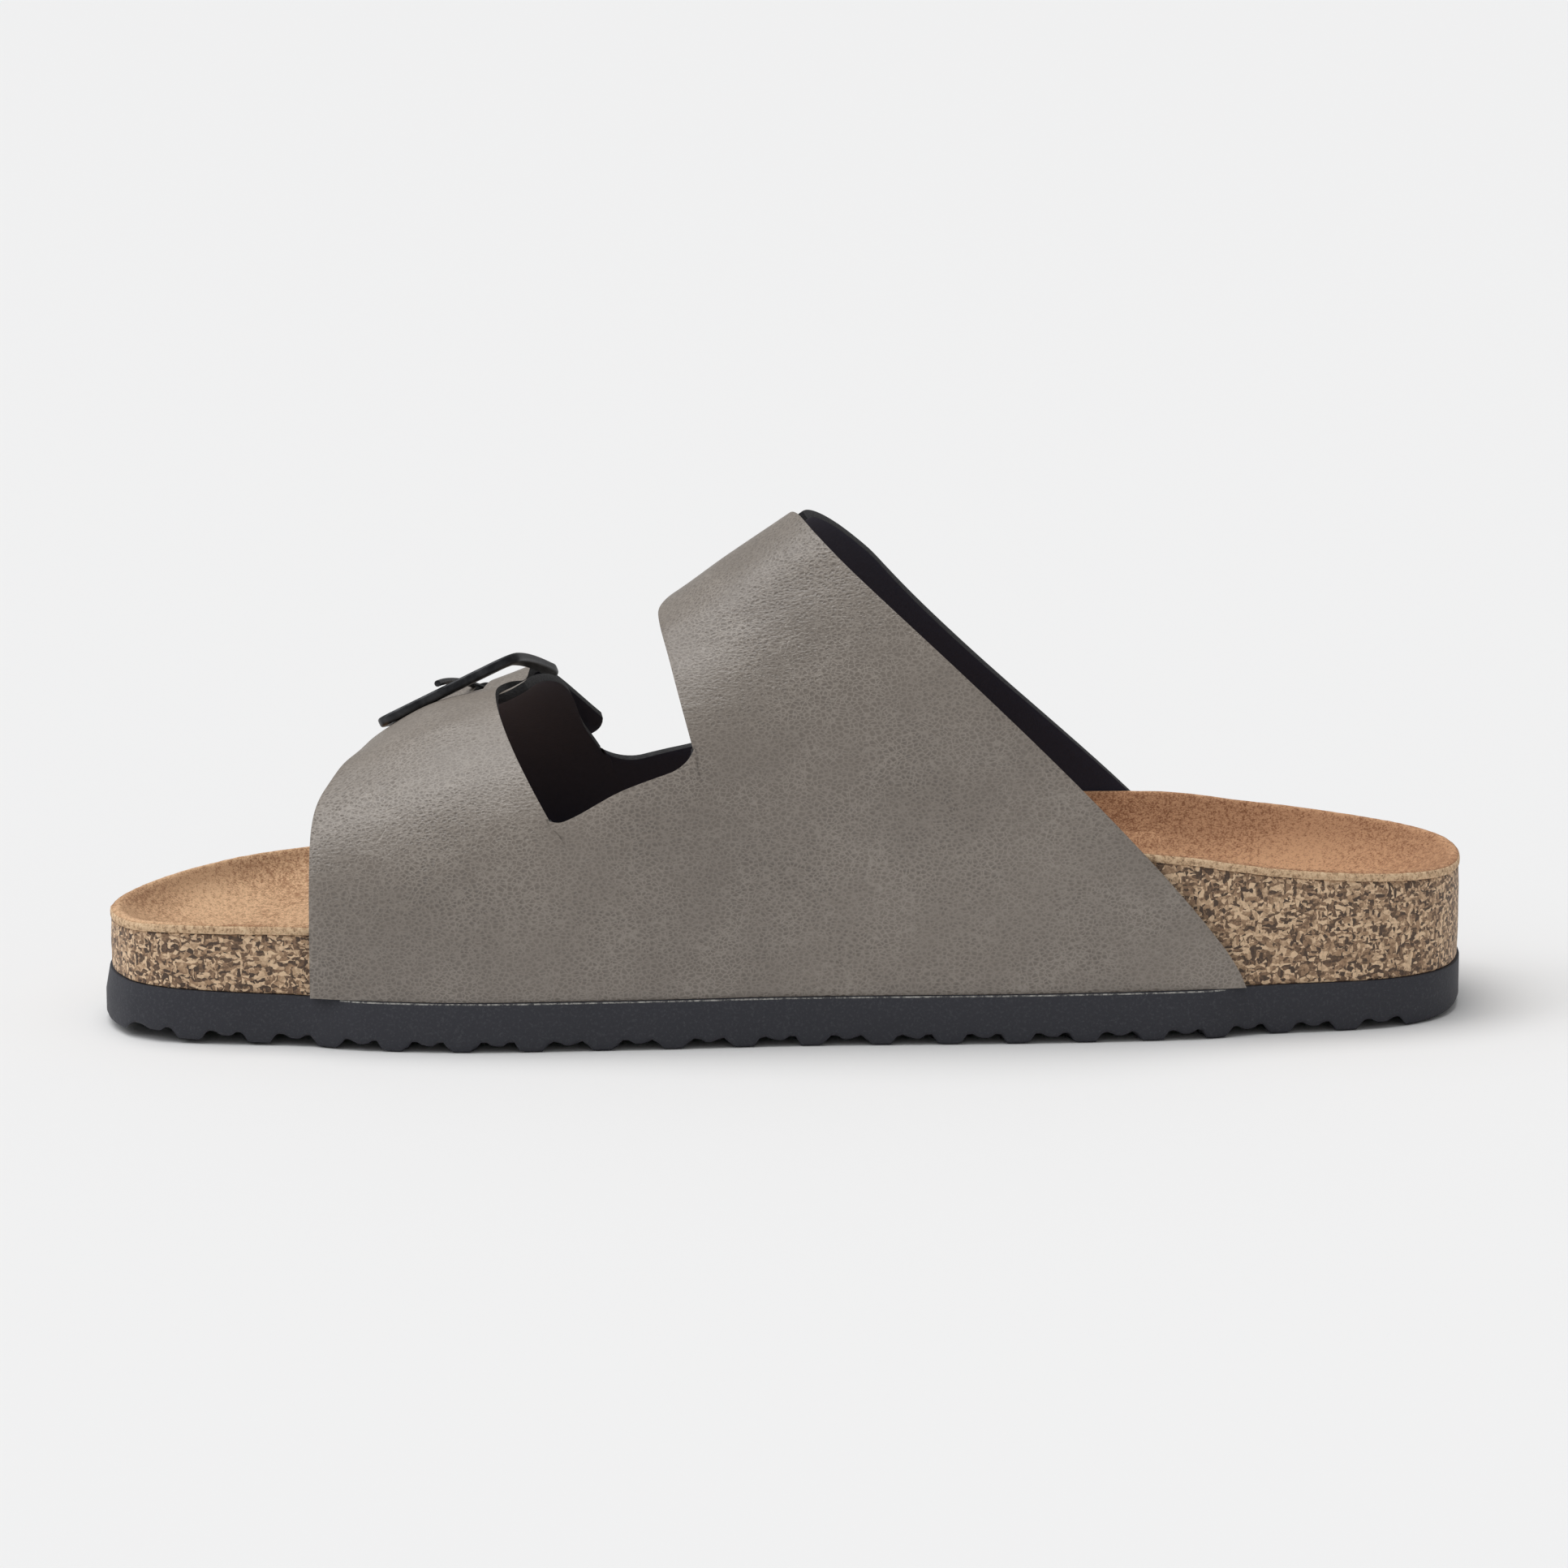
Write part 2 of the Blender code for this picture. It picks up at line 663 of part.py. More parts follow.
def make_buckle(name, strap, look):
    """A frame that bows with the foot. Its far end is a thin bar that holds the prong."""
    half = BUCKLE_THICKNESS / 2

    def outer(inset):
        start, end = inset, BUCKLE_LENGTH - inset
        return rounded_rectangle(BUCKLE_WIDTH / 2 - inset, start, end, BUCKLE_CORNER - inset)

    def inner(inset):
        start, end = NEAR_BAR_WIDTH - inset, BUCKLE_LENGTH - PIVOT_BAR_WIDTH + inset
        half_width = BUCKLE_WIDTH / 2 - SIDE_BAR_WIDTH + inset
        return rounded_rectangle(half_width, start, end, BUCKLE_INNER_CORNER + inset)

    section = (
        (outer(0), BUCKLE_EDGE - half),
        (outer(0), half - BUCKLE_EDGE),
        (outer(BUCKLE_EDGE), half),
        (inner(-BUCKLE_EDGE), half),
        (inner(0), half - BUCKLE_EDGE),
        (inner(0), BUCKLE_EDGE - half),
        (inner(-BUCKLE_EDGE), -half),
        (outer(BUCKLE_EDGE), -half),
    )
    bm = bmesh.new()
    rings = []
    for points, height in section:
        ring = [buckle_point(strap, x, y, FRAME_HEIGHT + height) for x, y in points]
        rings.append([bm.verts.new(point) for point in ring])
    bridge_rings(bm, rings + rings[:1])
    close_solid(bm)
    return add_object(name, bm, look)


def prong_path(strap):
    """Round the pivot bar from its near side, then through the strap to the near bar."""
    radius = PRONG_EYE - PRONG_DIAMETER / 2
    points = []
    for degrees in range(-165, 91, 32):
        turn = math.radians(degrees)
        along = PIVOT_ALONG + radius * math.cos(turn)
        points.append(buckle_point(strap, 0, along, FRAME_HEIGHT + radius * math.sin(turn)))
    rest = FRAME_HEIGHT + BUCKLE_THICKNESS / 2 + GAP + PRONG_DIAMETER / 2
    steps = 8
    for n in range(1, steps + 1):
        share = n / steps
        along = mix(PIVOT_ALONG, NEAR_BAR_WIDTH, share)
        points.append(buckle_point(strap, 0, along, mix(FRAME_HEIGHT + radius, rest, share)))
    points.append(buckle_point(strap, 0, NEAR_BAR_WIDTH / 2, rest))
    points.append(buckle_point(strap, 0, -PRONG_OVERHANG, rest))
    return points


def make_prong(name, strap, look, sides=8):
    bm = bmesh.new()
    points = prong_path(strap)
    rings = []
    side = None
    for i, point in enumerate(points):
        along = (points[min(i + 1, len(points) - 1)] - points[max(i - 1, 0)]).normalized()
        side = along.orthogonal() if side is None else side - along * side.dot(along)
        side.normalize()
        up = along.cross(side)
        turns = [2 * math.pi * n / sides for n in range(sides)]
        around = [side * math.cos(turn) + up * math.sin(turn) for turn in turns]
        rings.append([bm.verts.new(point + way * PRONG_DIAMETER / 2) for way in around])
    bridge_rings(bm, rings)
    bm.faces.new(rings[0])
    bm.faces.new(rings[-1])
    close_solid(bm)
    return add_object(name, bm, look)


def slot_cutter(name, strap):
    """The long hole that lets the prong and its eye through the strap."""
    bm = bmesh.new()
    end = PIVOT_ALONG + PRONG_EYE + GAP
    half = PRONG_SLOT_WIDTH / 2
    points = rounded_rectangle(half, end - PRONG_SLOT_LENGTH, end, half * 0.9)
    rings = []
    for height in (WALL + 2 * GAP, OVER_PIVOT + 2 * WALL):
        rings.append([bm.verts.new(buckle_point(strap, x, y, height)) for x, y in points])
    bridge_rings(bm, rings)
    bm.faces.new(rings[0])
    bm.faces.new(rings[-1])
    close_solid(bm)
    return hide(add_object(name, bm))


def make_upper(look):
    """Inner and outer halves, joined where the straps lap the tabs."""
    tails = [strap.girth(PIVOT_ALONG + TAIL_LENGTH) for strap in STRAPS]
    upper = make_half("upper", MEDIAL_HALF, STRAPS, STRAP_WIDTH, tails, strap_height)
    upper.data.materials.append(look)
    upper.data.shade_smooth()
    tab_ends = (LATERAL_HALF["end"],) * 2
    outer = make_half("outer_half", LATERAL_HALF, TABS, TAB_WIDTH, tab_ends, lambda *_: 0)
    hide(outer)
    boolean(upper, "front_slot", "DIFFERENCE", slot_cutter("front_slot", STRAPS[0]))
    boolean(upper, "rear_slot", "DIFFERENCE", slot_cutter("rear_slot", STRAPS[1]))
    boolean(upper, "join", "UNION", outer)
    return upper


def main():
    for obj in list(bpy.data.objects):
        bpy.data.objects.remove(obj)
    leather = material("taupe_leather", (0.165, 0.142, 0.122), 0.5)
    suede = material("tan_suede", (0.42, 0.22, 0.11), 0.95)
    cork = material("cork", (0.33, 0.215, 0.125), 0.85)
    foam = material("black_foam", (0.022, 0.023, 0.027), 0.7)
    metal = material("black_metal", (0.03, 0.03, 0.033), 0.35, 0.8)
    make_outsole(foam)
    make_footbed(cork)
    make_insole(suede)
    make_upper(leather)
    for place, strap in zip(("front", "rear"), STRAPS):
        make_buckle(place + "_buckle", strap, metal)
        make_prong(place + "_prong", strap, metal)


main()
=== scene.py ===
import bisect
import math

import bmesh
import bpy
import numpy as np
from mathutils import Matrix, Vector, noise


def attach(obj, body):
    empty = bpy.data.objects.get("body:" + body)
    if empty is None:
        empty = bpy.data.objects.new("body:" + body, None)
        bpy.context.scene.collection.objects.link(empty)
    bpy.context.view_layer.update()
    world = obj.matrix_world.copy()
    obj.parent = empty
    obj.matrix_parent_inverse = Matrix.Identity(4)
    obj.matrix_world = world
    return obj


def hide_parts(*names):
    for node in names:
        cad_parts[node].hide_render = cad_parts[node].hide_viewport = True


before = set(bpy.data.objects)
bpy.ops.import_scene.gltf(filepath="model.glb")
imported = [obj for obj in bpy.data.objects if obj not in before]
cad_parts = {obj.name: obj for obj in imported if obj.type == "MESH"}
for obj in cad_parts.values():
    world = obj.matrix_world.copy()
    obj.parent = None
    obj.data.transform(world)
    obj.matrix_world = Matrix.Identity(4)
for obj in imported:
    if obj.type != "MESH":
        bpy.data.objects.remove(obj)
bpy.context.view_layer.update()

print("stage: frame loaded")

mm = 0.001

# The shoe's own sizes, as the solids have them; seat and bond part the shown pieces
shoe = {
    "length": 266.6 * mm,
    "ballWidth": 97 * mm,
    "heelRim": 31 * mm,
    "instep": 96 * mm,
    "outsole": 9.9 * mm,
    "toeSpring": 1.3 * mm,
    "toeSpringShare": 0.22,
    "heelRound": 1.2 * mm,
    "heelRoundShare": 0.05,
    "insole": 1.8 * mm,
    "wall": 1.8 * mm,
    "gap": 0.3 * mm,
    "seat": 0.05 * mm,
    "bond": 0.1 * mm,
}


def tableOf(names, *rows):
    return dict(zip(names.split(), np.array(rows, float).T))


# Outline seen from above: shares of the length, widths as shares of the ball width
outlineTable = tableOf(
    "share  medial  lateral",
    (0.000, -0.200, -0.200),
    (0.009, -0.320, -0.060),
    (0.025, -0.387, 0.046),
    (0.052, -0.423, 0.170),
    (0.089, -0.441, 0.289),
    (0.126, -0.450, 0.361),
    (0.182, -0.474, 0.443),
    (0.268, -0.497, 0.500),
    (0.388, -0.474, 0.498),
    (0.519, -0.438, 0.454),
    (0.668, -0.421, 0.402),
    (0.780, -0.392, 0.384),
    (0.863, -0.354, 0.361),
    (0.926, -0.320, 0.294),
    (0.967, -0.263, 0.211),
    (0.990, -0.180, 0.124),
    (1.000, -0.020, -0.020),
)

# Top of the footbed: heights as shares of the heel rim, power is how late the rim rises
bedTable = tableOf(
    "share  floor  medialRim  lateralRim  medialPower  lateralPower",
    (0.00, 0.560, 0.695, 0.685, 5.0, 5.0),
    (0.05, 0.530, 0.735, 0.700, 5.5, 5.3),
    (0.10, 0.530, 0.752, 0.712, 6.0, 5.5),
    (0.17, 0.580, 0.770, 0.725, 7.0, 6.0),
    (0.25, 0.545, 0.790, 0.745, 7.0, 6.5),
    (0.40, 0.560, 0.940, 0.800, 4.5, 6.0),
    (0.55, 0.620, 1.140, 0.930, 2.6, 4.5),
    (0.68, 0.660, 1.250, 1.070, 2.3, 3.6),
    (0.78, 0.660, 1.180, 1.090, 2.7, 3.3),
    (0.86, 0.665, 1.070, 1.030, 3.0, 3.0),
    (0.93, 0.680, 1.015, 0.995, 3.0, 3.0),
    (1.00, 0.740, 0.975, 0.975, 3.2, 3.2),
)

# Lines over the foot from the inner sole edge to the outer one, front to back
footTable = tableOf(
    "across  crestX  crestZ  medialX  lateralX  springZ  medialBend  lateralBend  fullness",
    (0.00, 0.194, 0.524, 0.156, 0.215, 0.235, 14.0, 3.00, 1.62),
    (0.15, 0.242, 0.600, 0.262, 0.270, 0.250, 2.20, 0.97, 1.65),
    (0.30, 0.2925, 0.638, 0.411, 0.381, 0.280, 1.05, 1.06, 1.63),
    (0.50, 0.350, 0.737, 0.445, 0.470, 0.320, 1.10, 1.10, 1.70),
    (0.70, 0.412, 0.815, 0.476, 0.510, 0.345, 1.20, 1.08, 1.78),
    (0.85, 0.464, 0.918, 0.640, 0.6725, 0.360, 1.30, 1.09, 1.74),
    (1.00, 0.516, 1.018, 0.838, 0.823, 0.331, 1.25, 1.21, 1.74),
)
foot = {"crestShare": -0.09, "baseTurn": 0.14, "medialFullness": 2.25}


def ramp(start, end, value):
    share = min(1.0, max(0.0, (value - start) / (end - start)))
    return share * share * (3 - 2 * share)


def mix(a, b, share):
    return a + (b - a) * share


def smoothCurve(known, values):
    # cubic whose slopes never overshoot, straight beyond its ends
    known, values = [float(k) for k in known], [float(v) for v in values]
    steps = [b - a for a, b in zip(known, known[1:])]
    rises = [(b - a) / step for a, b, step in zip(values, values[1:], steps)]
    slopes = [rises[0]] + [0.0] * (len(known) - 2) + [rises[-1]]
    for i in range(1, len(known) - 1):
        if rises[i - 1] * rises[i] > 0:
            before, after = 2 * steps[i] + steps[i - 1], steps[i] + 2 * steps[i - 1]
            slopes[i] = (before + after) / (before / rises[i - 1] + after / rises[i])

    def read(at):
        if at < known[0]:
            return values[0] + slopes[0] * (at - known[0])
        if at > known[-1]:
            return values[-1] + slopes[-1] * (at - known[-1])
        i = max(0, min(bisect.bisect_right(known, at) - 1, len(known) - 2))
        t = (at - known[i]) / steps[i]
        return (
            values[i] * (1 + 2 * t) * (1 - t) ** 2
            + slopes[i] * steps[i] * t * (1 - t) ** 2
            + values[i + 1] * t * t * (3 - 2 * t)
            + slopes[i + 1] * steps[i] * t * t * (t - 1)
        )

    return read


def turnOf(share):
    return math.acos(1 - 2 * min(1.0, max(0.0, share)))


outlineTurns = [turnOf(share) for share in outlineTable["share"]]
medialEdge = smoothCurve(outlineTurns, outlineTable["medial"] * shoe["ballWidth"])
lateralEdge = smoothCurve(outlineTurns, outlineTable["lateral"] * shoe["ballWidth"])
bed = {name: smoothCurve(bedTable["share"], bedTable[name]) for name in bedTable}
line = {name: smoothCurve(footTable["across"], footTable[name]) for name in footTable}


def shareOf(x):
    return x / shoe["length"] + 0.5


def xOf(share):
    return (share - 0.5) * shoe["length"]


def toeLift(x):
    before = (shoe["toeSpringShare"] - shareOf(x)) / shoe["toeSpringShare"]
    return shoe["toeSpring"] * max(0.0, before) ** 2


def groundLift(x):
    past = (shareOf(x) - 1 + shoe["heelRoundShare"]) / shoe["heelRoundShare"]
    return toeLift(x) + shoe["heelRound"] * max(0.0, past) ** 2


def outlinePoints(count, out=None):
    # from the toe along the inner side to the heel and back along the outer side
    half = count // 2
    turns = [math.pi * i / half for i in range(half + 1)]
    points = [(xOf((1 - math.cos(t)) / 2), medialEdge(t)) for t in turns]
    points += [(xOf((1 - math.cos(t)) / 2), lateralEdge(t)) for t in turns[-2:0:-1]]
    if out is None:
        return points
    grown = []
    for i, (x, y) in enumerate(points):
        (x0, y0), (x1, y1) = points[i - 1], points[(i + 1) % len(points)]
        along = Vector((x1 - x0, y1 - y0)).normalized()
        reach = out(shareOf(x))
        grown.append((x + along.y * reach, y - along.x * reach))
    return grown


def coverShare(share):
    # 1 where the strap leather covers the footbed's side
    front, back = footTable["medialX"][0] - 0.01, footTable["medialX"][-1] + 0.01
    return ramp(front, front + 0.05, share) * (1 - ramp(back - 0.05, back, share))


def bedHeight(x, yShare, sideIsMedial, reach):
    share = shareOf(x)
    floor = bed["floor"](share) * shoe["heelRim"]
    rim = mix(bed["medialRim"](share), bed["lateralRim"](share), yShare) * shoe["heelRim"]
    power = bed["medialPower" if sideIsMedial else "lateralPower"](share)
    return toeLift(x) + mix(floor, rim, min(1.0, reach / 0.96) ** power)


def spinePoint(x):
    share = min(0.86, max(0.13, shareOf(x)))
    turn = turnOf(share)
    return xOf(share), (medialEdge(turn) + lateralEdge(turn)) / 2


def bedPoint(edge, i, count, reach, drop):
    # a point of the footbed's top, from the middle line (0) to the edge (1)
    x, y = edge[i]
    spineX, spineY = spinePoint(x)
    atX, atY = mix(spineX, x, reach), mix(spineY, y, reach)
    turn = turnOf(shareOf(x))
    width = lateralEdge(turn) - medialEdge(turn)
    yShare = 0.5 if width < mm else (y - medialEdge(turn)) / width
    return Vector((atX, atY, bedHeight(atX, yShare, i <= count // 2 and y < spineY, reach) - drop))


def footPoint(across, girth):
    # the foot's surface that the upper follows: girth 0 inner edge, 0.5 crest, 1 outer edge
    medial = girth <= 0.5
    side = "medial" if medial else "lateral"
    fromBase = girth if medial else 1 - girth
    baseZ = shoe["outsole"] + shoe["seat"]
    crestZ = line["crestZ"](across) * shoe["instep"]
    springZ = line["springZ"](across) * shoe["instep"]
    power = foot["medialFullness"] if medial else line["fullness"](across)
    turn = foot["baseTurn"]
    if fromBase <= turn:
        z = mix(baseZ, springZ, fromBase / turn)
        inward = 0.0
    else:
        angle = (fromBase - turn) / (0.5 - turn) * math.pi / 2
        z = mix(springZ, crestZ, math.sin(angle) ** (2 / power))
        inward = 1 - max(0.0, math.cos(angle)) ** (2 / power)
    climb = max(0.0, (z - baseZ) / (crestZ - baseZ))
    baseX = xOf(line[side + "X"](across))
    x = mix(baseX, xOf(line["crestX"](across)), climb ** line[side + "Bend"](across))
    around = turnOf(shareOf(x))
    edge = medialEdge(around) - shoe["gap"] if medial else lateralEdge(around) + shoe["gap"]
    return Vector((x, mix(edge, foot["crestShare"] * shoe["ballWidth"], inward), z + toeLift(x)))


def footNormal(across, girth):
    step = 0.004
    under, over = max(0.0, girth - step), min(1.0, girth + step)
    along = footPoint(across + step, girth) - footPoint(across - step, girth)
    around = footPoint(across, over) - footPoint(across, under)
    return around.cross(along).normalized() * -1


def shellPoint(across, girth, height):
    return footPoint(across, girth) + footNormal(across, girth) * height


buckle = {
    "width": 31 * mm,
    "length": 29 * mm,
    "nearBar": 4.2 * mm,
    "sideBar": 2.6 * mm,
    "pivotBar": 1.8 * mm,
    "thickness": 2.0 * mm,
    "corner": 5 * mm,
    "innerCorner": 1.6 * mm,
    "rounding": 0.55 * mm,
}
prong = {"diameter": 1.3 * mm, "eye": 2.5 * mm, "overhang": 0.2 * mm, "slotLength": 13 * mm}
upper = {
    "strapWidth": 24 * mm,
    "tabWidth": 30 * mm,
    "tabGrip": 0.5 * mm,
    "climb": 14 * mm,
    "tail": 24.6 * mm,
    "tailLift": 1.5 * mm,
    "edgeRounding": 0.4 * mm,
}


class Strap:
    # a strap's course over the foot, its buckle begins at buckleGirth
    def __init__(self, middle, skew, buckleGirth, roll=0.0):
        self.start, self.skew, self.roll = middle, skew, roll
        self.girths = np.linspace(0.40, 0.96, 141)
        points = [footPoint(self.middle(girth), girth) for girth in self.girths]
        steps = [(b - a).length for a, b in zip(points, points[1:])]
        lengths = np.concatenate([[0], np.cumsum(steps)])
        self.lengths = lengths - np.interp(buckleGirth, self.girths, lengths)
        self.bars = {}

    def middle(self, girth):
        return self.start + self.skew * (girth - 0.5)

    def distance(self, girth):
        return float(np.interp(girth, self.girths, self.lengths))

    def girth(self, distance):
        return float(np.interp(distance, self.lengths, self.girths))

    def edges(self, girth, width):
        found = []
        for side in (-1, 1):
            steps = [self.middle(girth) + side * 0.05 * n for n in range(7)]
            points = [footPoint(across, girth) for across in steps]
            reach = np.cumsum([0] + [(b - a).length for a, b in zip(points, points[1:])])
            found.append(float(np.interp(width / 2, reach, steps)))
        return found

    def bar(self, girth):
        # where a straight bar across the strap rests: middle, direction, up
        key = round(girth, 7)
        if key not in self.bars:
            first, last = (footPoint(edge, girth) for edge in self.edges(girth, buckle["width"]))
            along = footPoint(self.middle(girth + 0.01), girth + 0.01)
            along -= footPoint(self.middle(girth - 0.01), girth - 0.01)
            across = (last - first).normalized()
            up = across.cross(along).normalized()
            if up.z < 0:
                up.negate()
            turn, level = math.sin(self.roll), math.cos(self.roll)
            across, up = across * level + up * turn, up * level - across * turn
            middle = footPoint(self.middle(girth), girth)
            rise = max(0.0, ((first + last) / 2 - middle).dot(up))
            self.bars[key] = (middle + up * rise, across, up)
        return self.bars[key]


pivotAlong = buckle["length"] - buckle["pivotBar"] / 2
lapHeight = shoe["wall"] - upper["tabGrip"]
frameHeight = shoe["wall"] + shoe["gap"] + prong["eye"]
overPivot = frameHeight + buckle["thickness"] / 2 + shoe["gap"]
tailHeight = shoe["wall"] + upper["tailLift"]
# each strap's middle at the crest, its skew, where its buckle begins, and the buckle's roll
straps = (Strap(0.163, 0.536, 0.531, 0.07), Strap(0.855, 0.05, 0.615))
tabs = (Strap(0.191, 0.4915, 0.5), Strap(0.868, 0.25, 0.5))

# Where each half of the upper runs over the foot's lines
medialHalf = {
    "front": (0.0, 0.291),
    "rear": (0.70, 1.0),
    "base": 0.0,
    "notch": (0.246, 0.247),
    "notchRise": (0.010, 0.019),
    "notchTurn": (0.08, 0.18),
    "lap": (0.370, 0.430),
    "narrow": (0.47, 0.56),
}
lateralHalf = {
    "front": (0.0, 0.3655),
    "rear": (0.66, 1.0),
    "base": 1.0,
    "notch": (0.785, 0.797),
    "notchRise": (-0.032, -0.030),
    "notchTurn": (0.22, 0.30),
    "sway": (0.63, 1.00, 0.013),
    "end": 0.500,
    "narrow": (0.725, 0.581),
}


def strapHeight(strap, girth, across):
    height = lapHeight * ramp(*medialHalf["lap"], girth)
    if strap is None or girth < 0.45:
        return height
    distance = strap.distance(girth)
    middle, _, up = strap.bar(girth)
    top = overPivot + max(0.0, (middle - footPoint(across, girth)).dot(up))
    top /= footNormal(across, girth).dot(up)
    climbed = ramp(pivotAlong - upper["climb"], pivotAlong - prong["eye"], distance)
    sunk = ramp(pivotAlong + prong["eye"], pivotAlong + upper["tail"], distance)
    return height + (top - height) * climbed + (tailHeight - top) * sunk


sole = {"stretch": 1.0045, "shift": 0.95 * mm}


def stretchSole(bm):
    # the photographed sole is a hair longer at the heel
    bmesh.ops.scale(bm, vec=(sole["stretch"], 1, 1), verts=bm.verts)
    bmesh.ops.translate(bm, vec=(sole["shift"], 0, 0), verts=bm.verts)


def addPiece(name, bm, looks, smoothAngle=40):
    mesh = bpy.data.meshes.new(name)
    bm.to_mesh(mesh)
    bm.free()
    piece = bpy.data.objects.new(name, mesh)
    bpy.context.scene.collection.objects.link(piece)
    for look in looks:
        mesh.materials.append(look)
    mesh.shade_smooth()
    mesh.set_sharp_from_angle(angle=math.radians(smoothAngle))
    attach(piece, "root")
    return piece


def openEdges(made):
    return [e for e in made if isinstance(e, bmesh.types.BMEdge) and len(e.link_faces) == 1]


def ringStack(count, levels):
    # a circle is laid on the first level and extruded through the others
    bm = bmesh.new()
    order = bm.verts.layers.int.new("order")
    level = bm.faces.layers.int.new("level")
    ring = bmesh.ops.create_circle(bm, cap_ends=False, segments=count, radius=1)["verts"]
    for i, vert in enumerate(ring):
        vert[order] = i
        vert.co = levels[0](i)
    edges = list(bm.edges)
    for n, place in enumerate(levels[1:]):
        made = bmesh.ops.extrude_edge_only(bm, edges=edges)["geom"]
        for item in made:
            if isinstance(item, bmesh.types.BMVert):
                item.co = place(item[order])
            elif isinstance(item, bmesh.types.BMFace):
                item[level] = n
        edges = openEdges(made)
    bmesh.ops.remove_doubles(bm, verts=bm.verts, dist=1e-6)
    bmesh.ops.recalc_face_normals(bm, faces=bm.faces)
    return bm, level


def startLook(name):
    look = bpy.data.materials.new(name)
    look.use_nodes = True
    tree = look.node_tree
    return look, tree, tree.nodes["Principled BSDF"]


def add(tree, kind, links=None, **values):
    # a node with its fields or sockets set by name, and sockets linked
    made = tree.nodes.new(kind)
    for name, value in values.items():
        if hasattr(made, name):
            setattr(made, name, value)
        else:
            made.inputs[name.replace("_", " ")].default_value = value
    for name, source in (links or {}).items():
        tree.links.new(source, made.inputs[name])
    return made


def ramped(tree, source, stops):
    made = tree.nodes.new("ShaderNodeValToRGB")
    ends = made.color_ramp.elements
    while len(ends) < len(stops):
        ends.new(0.5)
    for end, (place, colour) in zip(ends, stops):
        end.position = place
        end.color = (*colour, 1) if len(colour) == 3 else (colour[0],) * 3 + (1,)
    tree.links.new(source, made.inputs["Fac"])
    return made.outputs["Color"]


def maths(tree, operation, a, b=None):
    made = tree.nodes.new("ShaderNodeMath")
    made.operation = operation
    for socket, value in zip(made.inputs, (a, b)):
        if value is None:
            continue
        if isinstance(value, (int, float)):
            socket.default_value = value
        else:
            tree.links.new(value, socket)
    return made.outputs[0]


def blended(tree, factor, a, b, kind="MIX"):
    made = tree.nodes.new("ShaderNodeMix")
    made.data_type = "RGBA"
    made.blend_type = kind
    for socket, value in ((made.inputs[0], factor), (made.inputs[6], a), (made.inputs[7], b)):
        if isinstance(value, bpy.types.NodeSocket):
            tree.links.new(value, socket)
        elif isinstance(value, tuple):
            socket.default_value = (*value, 1)
        else:
            socket.default_value = value
    return made.outputs[2]


def spot(tree, scale=(1, 1, 1), turn=(0, 0, 0), warp=0.0, warpScale=100.0):
    # object coordinates, stretched, turned and wavered
    coordinates = tree.nodes.new("ShaderNodeTexCoord").outputs["Object"]
    if warp:
        wobble = add(
            tree, "ShaderNodeTexNoise", {"Vector": coordinates}, Scale=warpScale, Detail=2.0
        )
        centred = add(
            tree, "ShaderNodeVectorMath", {0: wobble.outputs["Color"]}, operation="SUBTRACT"
        )
        centred.inputs[1].default_value = (0.5, 0.5, 0.5)
        moved = tree.nodes.new("ShaderNodeVectorMath")
        moved.operation = "MULTIPLY_ADD"
        tree.links.new(centred.outputs[0], moved.inputs[0])
        moved.inputs[1].default_value = (warp, warp, warp)
        tree.links.new(coordinates, moved.inputs[2])
        coordinates = moved.outputs[0]
    placed = add(tree, "ShaderNodeMapping", {"Vector": coordinates})
    placed.inputs["Rotation"].default_value = [math.radians(angle) for angle in turn]
    placed.inputs["Scale"].default_value = scale
    return placed.outputs["Vector"]


def bumped(tree, height, distance, strength=1.0, under=None):
    made = add(tree, "ShaderNodeBump", {"Height": height}, Distance=distance, Strength=strength)
    if under is not None:
        tree.links.new(under, made.inputs["Normal"])
    return made.outputs["Normal"]


def noiseOf(tree, vector, scale, detail=3.0, roughness=0.5):
    made = add(tree, "ShaderNodeTexNoise", {"Vector": vector}, Scale=scale, Detail=detail)
    made.inputs["Roughness"].default_value = roughness
    return made.outputs["Fac"]


def cellsOf(tree, vector, scale, feature="F1", output="Distance"):
    made = tree.nodes.new("ShaderNodeTexVoronoi")
    made.feature = feature
    tree.links.new(vector, made.inputs["Vector"])
    made.inputs["Scale"].default_value = scale
    return made.outputs[output]


leather = {
    "colour": (0.229, 0.195, 0.164),
    "shade": (0.178, 0.151, 0.127),
    "pore": (0.105, 0.088, 0.075),
    "crack": (0.420, 0.372, 0.325),
    "grainSize": 1350,
    "grainDepth": 0.0006,
    "foldSize": 60,
    "foldDepth": 0.0035,
    "poreShare": 0.55,
    "crackShare": 0.52,
    "veinShare": 0.34,
    "roughness": 0.42,
    "roughChange": 0.22,
}


